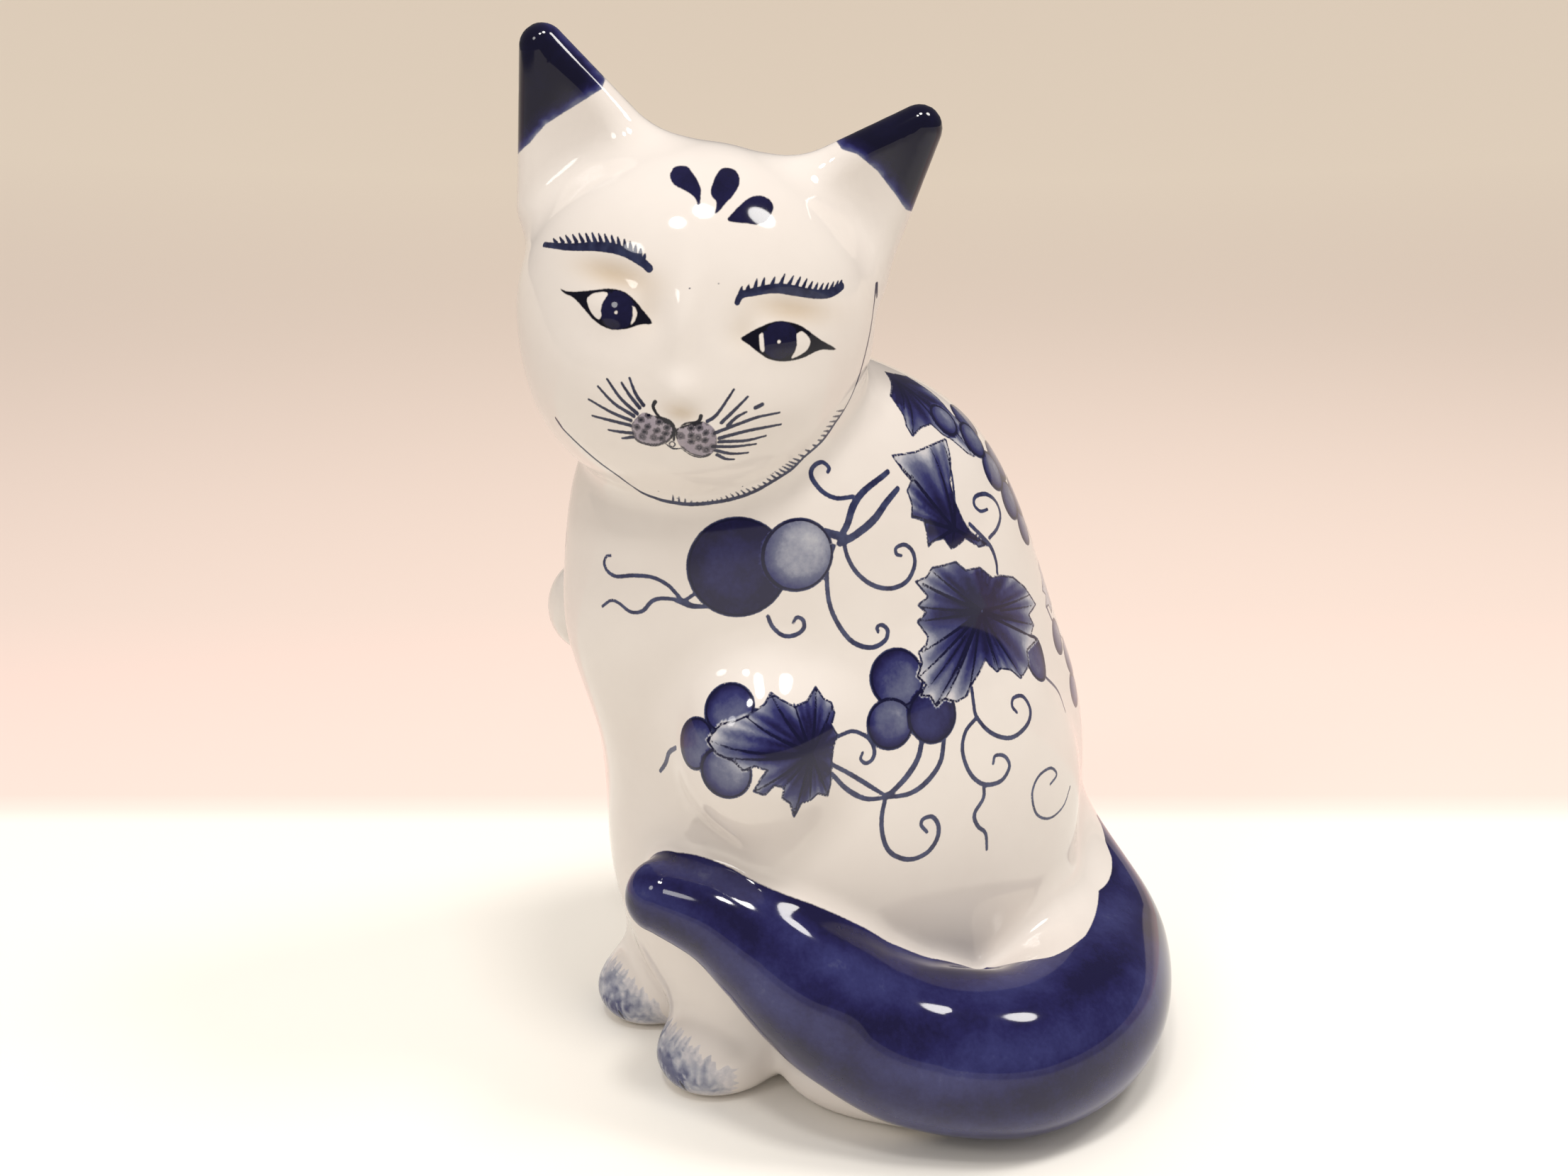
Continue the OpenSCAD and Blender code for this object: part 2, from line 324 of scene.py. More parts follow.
def sampled():
    """The distance on a grid: worked out near the surface, copied from a coarse grid elsewhere."""
    blocks = np.ceil((HIGH - LOW) / (GRID * COARSE)).astype(int)
    coarse = np.stack(np.meshgrid(*[np.arange(n + 1) for n in blocks], indexing="ij"), -1)
    rough = rough_distance(coarse.reshape(-1, 3) * GRID * COARSE + LOW).reshape(blocks + 1)
    size = blocks * COARSE + 1
    index = [np.minimum((np.arange(n) + COARSE // 2) // COARSE, b) for n, b in zip(size, blocks)]
    values = rough[np.ix_(*index)]
    near = np.argwhere(np.abs(values) < BAND)
    values[tuple(near.T)] = rough_distance(near * GRID + LOW)
    return values


def skin(values):
    """Surface net of the grid: points, and four-sided faces that look outwards."""
    inside = values < 0
    corners = [(i, j, k) for i in (0, 1) for j in (0, 1) for k in (0, 1)]
    shape = np.array(values.shape) - 1
    count = sum(inside[i:i + shape[0], j:j + shape[1], k:k + shape[2]].astype(int) for i, j, k in corners)
    crossed = (count > 0) & (count < 8)
    cells = np.argwhere(crossed)
    ids = np.full(crossed.shape, -1)
    ids[crossed] = np.arange(len(cells))
    total, hits = np.zeros((len(cells), 3)), np.zeros(len(cells))
    ways = np.eye(3, dtype=int)
    for axis in range(3):
        for start in [c for c in corners if c[axis] == 0]:
            a = values[tuple((cells + start).T)]
            b = values[tuple((cells + start + ways[axis]).T)]
            cross = (a < 0) != (b < 0)
            t = a[cross] / (a[cross] - b[cross])
            total[cross] += np.array(start) + t[:, None] * ways[axis]
            hits[cross] += 1
    points = (cells + total / hits[:, None]) * GRID + LOW
    faces = []
    for axis in range(3):
        u, v = ways[(axis + 1) % 3], ways[(axis + 2) % 3]
        first = np.take(inside, range(inside.shape[axis] - 1), axis)
        second = np.take(inside, range(1, inside.shape[axis]), axis)
        at = np.argwhere(first != second)
        loop = np.stack([ids[tuple((at - back).T)] for back in (u + v, v, 0 * u, u)], 1)
        out = first[tuple(at.T)]
        loop[~out] = loop[~out][:, ::-1]
        faces.append(loop)
    return points, np.vstack(faces)


def spaced(points, quads, rounds=4):
    """Points shared out evenly over the surface."""
    ends = np.vstack([quads[:, [i, (i + 1) % 4]] for i in range(4)])
    degree = np.bincount(ends.ravel(), minlength=len(points))[:, None]
    for _ in range(rounds):
        total = np.zeros(points.shape)
        for i in range(3):
            total[:, i] = (np.bincount(ends[:, 0], points[ends[:, 1], i], len(points))
                           + np.bincount(ends[:, 1], points[ends[:, 0], i], len(points)))
        points = settle(points + 0.6 * (total / degree - points), 1)
    return settle(points, 2)


def cut_square(points, quads):
    """Each quad as two triangles, cut along its shorter diagonal."""
    a, b, c, d = (points[quads[:, i]] for i in range(4))
    short = np.linalg.norm(a - c, axis=1) < np.linalg.norm(b - d, axis=1)
    first = np.where(short[:, None], quads[:, [0, 1, 2]], quads[:, [0, 1, 3]])
    second = np.where(short[:, None], quads[:, [0, 2, 3]], quads[:, [1, 2, 3]])
    return np.vstack([first, second])


# ---------------------------------------------------------------- pieces

PIECES = ["body_shell", "head_shell", "left_ear", "right_ear", "left_foreleg", "right_foreleg",
          "left_hind_foot", "right_hind_foot", "tail"]
WALLS = {"left_ear": 2.0, "right_ear": 2.0, "left_hind_foot": 2.2, "right_hind_foot": 2.2}
USUAL_WALL = 3.0
FAR = 1e3


def label_distances(p):
    d = piece_distances(p)
    return np.stack([d[name] for name in PIECES], 1)


def edge_table(faces):
    """Each edge once, and which of them a, b and c sides of the triangles are."""
    sides = np.sort(np.stack([faces[:, [0, 1]], faces[:, [1, 2]], faces[:, [2, 0]]], 1), 2)
    edges, where = np.unique(sides.reshape(-1, 2), axis=0, return_inverse=True)
    return edges, where.reshape(-1, 3)


def islands_joined(points, faces, apart):
    """Each point's piece, where a patch cut off from its own piece goes to the next nearest one."""
    edges, _ = edge_table(faces)
    for _ in range(3):
        label = apart.argmin(1)
        same = edges[label[edges[:, 0]] == label[edges[:, 1]]]
        patch, before = np.arange(len(points)), None
        while before is None or (patch != before).any():
            low = np.minimum(patch[same[:, 0]], patch[same[:, 1]])
            before = patch.copy()
            np.minimum.at(patch, same[:, 0], low)
            np.minimum.at(patch, same[:, 1], low)
            patch = patch[patch]
        size = np.bincount(patch, minlength=len(points))
        for kind in range(apart.shape[1]):
            own = label == kind
            if own.any():
                main = patch[own][size[patch[own]].argmax()]
                apart[own & (patch != main), kind] = FAR
    return apart


def seamed(points, faces, apart):
    """The mesh cut along the lines where one piece's form gives way to the next."""
    label = apart.argmin(1)
    edges, sides = edge_table(faces)
    a, b = edges.T
    crossing = np.flatnonzero(label[a] != label[b])
    a, b = a[crossing], b[crossing]
    gap_a = apart[a, label[b]] - apart[a, label[a]]
    gap_b = apart[b, label[a]] - apart[b, label[b]]
    t = np.clip(gap_a / (gap_a + gap_b + 1e-9), 0.2, 0.8)[:, None]
    middle = np.full(len(edges), -1)
    middle[crossing] = len(points) + np.arange(len(crossing))
    added = [settle(points[a] * (1 - t) + points[b] * t, 2)]
    kinds = label[faces]
    plain = (kinds[:, 0] == kinds[:, 1]) & (kinds[:, 1] == kinds[:, 2])
    new_faces, new_labels, hubs = [faces[plain]], [kinds[plain, 0]], []
    first_hub = len(points) + len(crossing)
    for face, side, kind in zip(faces[~plain], sides[~plain], kinds[~plain]):
        cuts = middle[side]
        if len(set(kind)) == 3:
            hub = first_hub + len(hubs)
            hubs.append(points[face].mean(0))
            for i in range(3):
                new_faces.append([[face[i], cuts[i], hub], [face[i], hub, cuts[i - 1]]])
                new_labels.append([kind[i]] * 2)
            continue
        i = [j for j in range(3) if kind[j] != kind[j - 1] and kind[j] != kind[j - 2]][0]
        j, k = (i + 1) % 3, (i + 2) % 3
        new_faces.append([[face[i], cuts[i], cuts[k]], [cuts[i], face[j], face[k]], [cuts[i], face[k], cuts[k]]])
        new_labels.append([kind[i], kind[j], kind[j]])
    if hubs:
        added.append(settle(np.array(hubs), 2))
    return np.vstack([points] + added), np.vstack(new_faces), np.concatenate(new_labels)


def halved(points, faces, labels, split, edges, sides):
    """Triangles whose marked edges are cut in two, with no gaps between neighbours."""
    middle = np.full(len(edges), -1)
    middle[split] = len(points) + np.arange(split.sum())
    a, b = edges[split].T
    points = np.vstack([points, settle((points[a] + points[b]) / 2, 1)])
    cuts = middle[sides]
    marked = cuts >= 0
    count = marked.sum(1)
    out, kinds = [faces[count == 0]], [labels[count == 0]]

    def add(chosen, *triangles):
        for tri in triangles:
            out.append(tri if isinstance(tri, np.ndarray) else np.stack(tri, 1))
            kinds.append(labels[chosen])

    full = count == 3
    (a, b, c), (ab, bc, ca) = faces[full].T, cuts[full].T
    add(full, (a, ab, ca), (b, bc, ab), (c, ca, bc), (ab, bc, ca))
    for turn in range(3):
        order = [turn, (turn + 1) % 3, (turn + 2) % 3]
        one = (count == 1) & marked[:, turn]
        (a, b, c), ab = faces[one][:, order].T, cuts[one, turn]
        add(one, (a, ab, c), (ab, b, c))
        two = (count == 2) & marked[:, turn] & marked[:, order[1]]
        (a, b, c), (ab, bc, _) = faces[two][:, order].T, cuts[two][:, order].T
        near, far = points[a] - points[bc], points[ab] - points[c]
        short = ((near ** 2).sum(1) < (far ** 2).sum(1))[:, None]
        add(two, (ab, b, bc),
            np.where(short, np.stack([a, ab, bc], 1), np.stack([a, ab, c], 1)),
            np.where(short, np.stack([a, bc, c], 1), np.stack([ab, bc, c], 1)))
    return points, np.vstack(out), np.concatenate(kinds), dict(zip(map(tuple, edges[split]), middle[split]))


def between(a, b, halves):
    """The points that were added on the edge from a to b, in order."""
    m = halves.get((min(a, b), max(a, b)))
    return [] if m is None else between(a, m, halves) + [m] + between(m, b, halves)


def rim_edges(faces, labels, kind):
    """Directed edges of this piece's triangles that have no neighbour in the same piece."""
    own = faces[labels == kind]
    directed = np.vstack([own[:, [0, 1]], own[:, [1, 2]], own[:, [2, 0]]])
    there = set(map(tuple, directed))
    return [e for e in map(tuple, directed) if (e[1], e[0]) not in there]


def shell(name, kind, base, fine, halves, paint):
    """One closed piece: the glazed skin, a coarser skin inside it, and the rims between the two."""
    base_points, base_faces, base_labels, base_slope = base
    points, faces, labels, normals = fine
    outer = faces[labels == kind]
    inner = base_faces[base_labels == kind][:, ::-1]
    outer_ids, inner_ids = np.unique(outer), np.unique(inner)
    outer_at, inner_at = np.full(len(points), -1), np.full(len(base_points), -1)
    outer_at[outer_ids] = np.arange(len(outer_ids))
    inner_at[inner_ids] = len(outer_ids) + np.arange(len(inner_ids))
    wall = WALLS.get(name, USUAL_WALL)
    spots = np.vstack([points[outer_ids], base_points[inner_ids] - base_slope[inner_ids] * wall])
    polygons = outer_at[outer].tolist() + inner_at[inner].tolist()
    for a, b in rim_edges(base_faces, base_labels, kind):
        way = [a] + between(a, b, halves) + [b]
        polygons.append([int(outer_at[i]) for i in reversed(way)] + [int(inner_at[a]), int(inner_at[b])])
    mesh = bpy.data.meshes.new(name)
    mesh.from_pydata((spots * MM + HOME).tolist(), [], polygons)
    mesh.polygons.foreach_set("use_smooth", [True] * len(polygons))
    for channel, values in paint.items():
        layer = mesh.attributes.new(channel, "FLOAT", "POINT")
        bare = np.full(len(inner_ids), UNPAINTED[channel])
        layer.data.foreach_set("value", np.concatenate([values[outer_ids], bare]).astype(np.float32))
    mesh.normals_split_custom_set_from_vertices(
        np.vstack([normals[outer_ids], -base_slope[inner_ids]]).tolist())
    piece = bpy.data.objects.new(name + "_glazed", mesh)
    bpy.context.scene.collection.objects.link(piece)
    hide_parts(name)
    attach(piece, "root")
    return piece


# ---------------------------------------------------------------- paint
# Each point of the glaze carries how deep it lies inside a line (ink) and inside a filled shape (fill), in
# millimetres, and how dense (wash), black or warm (mauve) the colour is there, and how much painted shade
# (shade) darkens it there.

UNPAINTED = {"ink": -4.0, "fill": -4.0, "wash": 0.0, "black": 0.0, "warm": 0.0, "shade": 0.0}


def tones(wash, black=0.0, warm=0.0):
    return {"wash": wash, "black": black, "warm": warm}


SPINE_Y, SPINE_LEAN = 10, 0.2  # the body's axis stands here on the table, and leans forwards this much
BODY_START, HEAD_START, PAW_START = 45.0, -62.0, -75.0  # where the search for a place on the glaze begins
GRAPE_RIM, LEAF_RIM = (0.7, 0.9, 0.7), (0.55, 0.55, 0.55)  # widths at a stroke's start, middle and end
LEAF_CREASE, LEAF_VEIN = (0.75, 0.6, 0.25), (1.1, 0.8, 0.35)


def body_place(p):
    """Turn in degrees round the body's axis, 0 at the front and 90 at its left, and height."""
    return np.stack([np.degrees(np.arctan2(p[:, 0], -(p[:, 1] - SPINE_Y + SPINE_LEAN * p[:, 2]))), p[:, 2]], 1)


def on_body(places):
    """Points of the glaze at these places, found by walking in along the spoke through each."""
    places = np.asarray(places, float)
    turn, z = np.radians(places[:, 0]), places[:, 1]
    start = np.stack([0 * z, SPINE_Y - SPINE_LEAN * z, z], 1)
    way = np.stack([np.sin(turn), -np.cos(turn), 0 * z], 1)
    out = np.full(len(z), BODY_START)
    for _ in range(30):
        out -= 0.8 * trunk_form(start + way * out[:, None])
    return settle(start + way * out[:, None], 2)


def on_head(places):
    """Points of the glaze behind these places, found by walking in from the front of the face."""
    places = np.asarray(places, float)
    q = np.stack([places[:, 0], np.full(len(places), HEAD_START), places[:, 1]], 1)
    for _ in range(40):
        q[:, 1] += 0.8 * np.clip(head_form(q), -4, 12)
    q[:, 1] = np.minimum(q[:, 1], 0)
    return settle(HEAD_MIDDLE + q @ HEAD_AXES.T, 2)


def on_paw(places, side):
    """Places are sideways from the paw's middle line, and height."""
    places = np.asarray(places, float)
    p = np.stack([places[:, 0] + side * LEG_X, np.full(len(places), PAW_START), places[:, 1]], 1)
    for _ in range(40):
        p[:, 1] += 0.8 * np.clip(foreleg_form(p, side), -4, 12)
    return settle(p, 2)


def round_places(places, spacing=0.8):
    """A smooth curve through the places."""
    places = np.asarray(places, float)
    if len(places) == 2:
        t = np.linspace(0, 1, 6)[:, None]
        return places[0] * (1 - t) + places[1] * t
    length = np.linalg.norm(np.diff(places, axis=0), axis=1).sum()
    return eased(places, max(2, int(length / spacing / (len(places) - 1)) + 1))


def flat_depth(q, outline):
    """Depth of the flat points q inside a closed outline, negative outside."""
    best = np.full(len(q), 1e9)
    odd = np.zeros(len(q), bool)
    for a, b in zip(outline, np.roll(outline, -1, 0)):
        d = b - a
        t = np.clip(((q - a) @ d) / (d @ d + 1e-12), 0, 1)
        best = np.minimum(best, ((q - a - t[:, None] * d) ** 2).sum(1))
        high = (a[1] > q[:, 1]) != (b[1] > q[:, 1])
        odd ^= high & (q[:, 0] < d[0] * (q[:, 1] - a[1]) / (d[1] if d[1] else 1e-9) + a[0])
    return np.where(odd, 1, -1) * np.sqrt(best)


class Stroke:
    """A brushed line: the brush's path on the glaze, and its widths at the start, middle and end."""

    def __init__(self, path, widths, black=0.0):
        self.path, self.black = path, black
        t = np.linspace(0, 1, len(path))
        start, middle, end = widths
        self.half = np.interp(t, [0, 0.5, 1], [start / 2, middle / 2, end / 2])
        self.low, self.high = path.min(0) - 2.5, path.max(0) + 2.5

    def lay(self, p, state):
        near = np.flatnonzero(((p > self.low) & (p < self.high)).all(1))
        if not len(near):
            return
        q = p[near]
        depth = np.full(len(q), -9.0)
        for a, b, ra, rb in zip(self.path[:-1], self.path[1:], self.half[:-1], self.half[1:]):
            d = b - a
            t = np.clip(((q - a) @ d) / (d @ d + 1e-12), 0, 1)
            depth = np.maximum(depth, ra + (rb - ra) * t - np.linalg.norm(q - a - t[:, None] * d, axis=1))
        state["ink"][near] = np.maximum(state["ink"][near], depth)
        own = near[depth > -0.4]
        state["black"][own] = self.black


class Area:
    """A filled shape. depth(p) is its depth at the points p, and tone(p, depth) the channels it sets."""

    def __init__(self, low, high, depth, tone, hole=False):
        self.low, self.high, self.depth, self.tone, self.hole = low, high, depth, tone, hole

    def lay(self, p, state):
        near = np.flatnonzero(((p > self.low) & (p < self.high)).all(1))
        if not len(near):
            return
        depth = self.depth(p[near])
        if self.hole:
            state["fill"][near] = np.minimum(state["fill"][near], -depth)
            return
        state["ink"][near] = np.minimum(state["ink"][near], -depth)
        state["fill"][near] = np.maximum(state["fill"][near], depth)
        inner = depth > -0.5
        for channel, value in self.tone(p[near[inner]], depth[inner]).items():
            state[channel][near[inner]] = value


def box_of(path, margin=3.0):
    return path.min(0) - margin, path.max(0) + margin


def tilted_frame(middle):
    """Two directions in the glaze at a point: to its right, and up."""
    out = unit(slope(middle[None])[0])
    right = unit(np.cross([0, 0, 1.0], out))
    return right, np.cross(out, right)


def grape(place, radius, dark, towards, reach):
    """A round grape, darker towards one side, with a thin rim."""
    middle = on_body([place])[0]
    right, up = tilted_frame(middle)
    dark_way = towards[0] * right + towards[1] * up

    def depth(p):
        return radius - np.linalg.norm(p - middle, axis=1)

    def tone(p, d):
        side = (p - middle) @ dark_way / radius
        rim = np.clip(1 - d / (0.45 * radius), 0, 1)
        return tones(np.clip(dark - 0.08 + reach * side + 0.3 * rim, 0.05, 1))

    a = np.linspace(0, 2 * np.pi, 40)[:, None]
    ring = settle(middle + radius * (np.cos(a) * right + np.sin(a) * up), 2)
    ring = middle + (ring - middle) * (radius - 0.1) / np.linalg.norm(ring - middle, axis=1, keepdims=True)
    ring = settle(ring, 1)
    return [Area(middle - radius - 3, middle + radius + 3, depth, tone), Stroke(ring, GRAPE_RIM)]


def teeth(outline, heart):
    """The points of the outline that stick out furthest from the leaf's heart."""
    far = np.linalg.norm(outline - heart, axis=1)
    return outline[(far > np.roll(far, 1)) & (far >= np.roll(far, -1)) & (far > 0.45 * far.max())]


def leaf(heart, outline, veins):
    """A toothed leaf with dark veins that run from its heart, paler towards its points."""
    outline, heart = np.asarray(outline, float), np.asarray(heart, float)
    rim = on_body(np.vstack([np.linspace(a, b, 4, endpoint=False) for a, b in
                             zip(outline, np.roll(outline, -1, 0))] + [outline[:1]]))
    middle = on_body([heart])[0]
    size = np.linalg.norm(rim - middle, axis=1).max()
    right, up = tilted_frame(middle)
    scale = np.array([np.radians(np.hypot(middle[0], middle[1] - SPINE_Y + SPINE_LEAN * middle[2])), 1.0])
    tips = teeth(outline * scale, heart * scale) / scale

    def depth(p):
        place = body_place(p)
        place[:, 0] = (place[:, 0] - heart[0] + 180) % 360 - 180 + heart[0]
        return flat_depth(place * scale, outline * scale)

    def tone(p, d):
        away = p - middle
        far = np.linalg.norm(away, axis=1) / size
        turn = np.arctan2(away @ up, away @ right)
        streak = 0.12 * np.sin(23 * turn + 3 * np.sin(5 * turn)) + 0.10 * np.sin(11 * turn + 2 * np.sin(3 * turn))
        rim_pale = 0.22 * np.clip(1 - d / 3.0, 0, 1) * (far > 0.35)
        wash = 1.2 - far ** 1.1 + streak * np.clip(3 * far, 0, 1) - rim_pale
        return tones(np.clip(wash, 0.1, 1))

    low, high = box_of(rim)
    marks = [Area(low, high, depth, tone), Stroke(rim, LEAF_RIM)]
    for tip in tips[::2]:
        marks.append(Stroke(on_body(round_places([heart + 0.3 * (tip - heart), heart + 0.9 * (tip - heart)])),
                            LEAF_CREASE))
    for vein in veins:
        marks.append(Stroke(on_body(round_places([heart, vein])), LEAF_VEIN))
    return marks


def face_area(outline, tone, hole=False, smooth=True, front=-4.0):
    outline = np.asarray(outline, float)
    if smooth:
        outline = eased(np.vstack([outline, outline[:2]]), 4)[:-5]
    rim = on_head(outline)

    def depth(p):
        q = in_head(p)
        return np.minimum(flat_depth(q[:, [0, 2]], outline), (front - q[:, 1]) * 0.8)

    low, high = box_of(rim, 4.0)
    return Area(low, high, depth, tone if callable(tone) else lambda p, d: tone, hole)


def face_stroke(places, widths, black=1.0):
    return Stroke(on_head(round_places(places, 0.5)), widths, black)


# ---------------------------------------------------------------- drawing
# Places on the body are turn (degrees from the front towards the left) and height; places on the face are
# sideways and height in the head's axes. The points were picked by eye on the photo, and a scratch script worked
# out these places from them. They are written one after another and paired up by rows().

VINE_LINES = [  # width in millimetres, places
    (0.6, (40, 131.1, 36.9, 131.3, 34.4, 132.3, 29.3, 132.7, 26.1, 131.9, 23.4, 129.4, 20.2, 128.8, 17, 130.4, 14.6,
     130.7, 12, 128.9)),
    (0.6, (38.1, 134.4, 34.4, 132.5, 33, 133.6, 30.6, 135.8, 26.5, 137.3, 20.9, 137.2, 16.2, 136.4, 13.4, 137.1, 11.9,
     138.7, 12.4, 140.4, 13.9, 140.8)),
    (0.96, (32.6, 132.4, 36.3, 131.3, 40.3, 131.2)),
    (0.72, (56.9, 128.6, 57.7, 126, 60.4, 123.8, 64, 123.7, 67.1, 125, 67.4, 127, 65.6, 127.9, 64.2, 126.6)),
    (1.6, (85.1, 145.2, 89.1, 148.1, 93.1, 151.8, 99.6, 154.8, 112.4, 157.8)),
    (1.7, (84.8, 144.1, 90.3, 145.2, 99.2, 148, 106.7, 151.4, 113.4, 153.8)),
    (0.84, (94.2, 153.9, 88, 154, 83.6, 155.6, 81.2, 158.3, 81.3, 160.2, 83.7, 161.5, 87.1, 161.8, 89, 160.6, 87.9,
     159.7)),
    (0.84, (86.2, 144.2, 86.5, 140.4, 88.9, 136.4, 93.7, 133.1, 99.8, 131.7, 106, 132.6, 110.5, 135.9, 111.3, 139.1,
     109, 141.1, 105.4, 140.8, 104.9, 139.4, 106.5, 138.8)),
    (0.84, (82.4, 143.6, 79.3, 140.1, 77.6, 135.6, 77.1, 129.9, 78.9, 124.6, 82.3, 120.5, 87.7, 118.8, 92.9, 119.9,
     94.8, 122.1, 93.4, 123.6, 91.5, 123.2, 91.5, 122.1)),
    (1.7, (80.5, 147, 85.3, 145.6, 88.6, 144.7)),
    (0.84, (140.3, 137.4, 144.9, 138.8, 148.7, 141.4, 149.3, 144.8, 146.7, 147.2, 142.3, 147.5, 140.3, 145.9, 141.4,
     144, 144.4, 143.8)),
    (0.96, (135.4, 142, 138.2, 137.9, 139.6, 135, 139.5, 131.5, 138.4, 128.7)),
    (0.84, (133.4, 140.7, 135.5, 137.5, 139.3, 135.8)),
    (1.2, (94, 97.3, 91.2, 92.9, 87.1, 89.3, 81.7, 86, 79, 85.2)),
    (1.1, (99.9, 95.3, 96.9, 90.4, 91.5, 86.5, 85.8, 84.6, 79.1, 84.8)),
    (0.84, (66.5, 96.3, 71.7, 91.6, 76.5, 87.5, 79.3, 85.3)),
    (0.96, (66.1, 94, 69.4, 88.7, 73.8, 85.3, 79.1, 84.7)),
    (0.96, (79, 84.2, 77.1, 80, 76.4, 75, 77.7, 70.7, 82.1, 68.1, 87.3, 68.7, 91, 71.7, 92.2, 75.1, 91, 77.7, 88.4,
     77.7, 87.4, 76.3, 88.6, 74.2)),
    (0.72, (69.5, 101.9, 74.3, 101.8, 78.3, 99.4, 79.3, 96.7, 78.3, 94.5, 76.1, 93.7, 74.7, 95, 75.7, 96.4)),
    (0.96, (29.6, 98.1, 26.2, 95.5, 23.7, 92, 20.1, 88.5)),
    (0.84, (113.9, 105.5, 112.5, 101.9, 111.9, 98.6, 114.5, 94, 119.9, 91.2, 126.2, 92.5, 129.3, 95.6, 128.7, 99.3,
     125.4, 99.9, 123.9, 98.2, 124.6, 96.4)),
    (0.84, (111.9, 98.6, 107.2, 96.2, 104.4, 91.9, 104.7, 86.2, 107.9, 82.3, 113.3, 81.7, 116.9, 84.5, 116.3, 87.4,
     113.6, 88.3, 112.3, 86.6)),
    (0.84, (107.9, 82.3, 106.9, 78.9, 103.3, 75.6, 103.5, 72.3, 105.5, 69.6, 105.2, 65.1)),
    (0.48, (128.5, 75.3, 131.4, 76.8, 129.7, 79.4, 125.1, 78.9, 121.9, 75.2, 122.3, 69.4, 126.7, 66.2, 132.4, 67.1,
     136.2, 71)),
    (0.84, (141.7, 99.9, 146, 93.6, 144.9, 88.4)),
    (0.72, (156.4, 113.3, 158.4, 107.2, 163.6, 99.3)),
    (0.72, (159.2, 150.6, 156.3, 146.6, 154.6, 142.9)),
]
GRAPES = [  # turn, height, radius, darkness, which way it darkens (sideways, up) and by how much
    (50.7, 140.1, 11.2, 0.97, 0.5, -0.3, 0.14), (69.8, 142.3, 8.2, 0.36, -0.5, -0.5, 0.26),
    (92.7, 111.3, 6.84, 0.66, -0.4, 0.7, 0.3), (85.9, 101.5, 5.88, 0.62, -0.5, -0.7, 0.3),
    (99.1, 101.7, 6.6, 0.85, 0.6, 0.4, 0.15), (141.8, 104.7, 5.83, 0.75, 0.7, 0.3, 0.2),
    (45.2, 110.7, 5.83, 0.66, -0.5, 0.7, 0.28), (36.9, 102, 5.83, 0.66, -0.8, 0.2, 0.3),
    (44.1, 97.3, 6.05, 0.55, -0.6, -0.6, 0.35)]
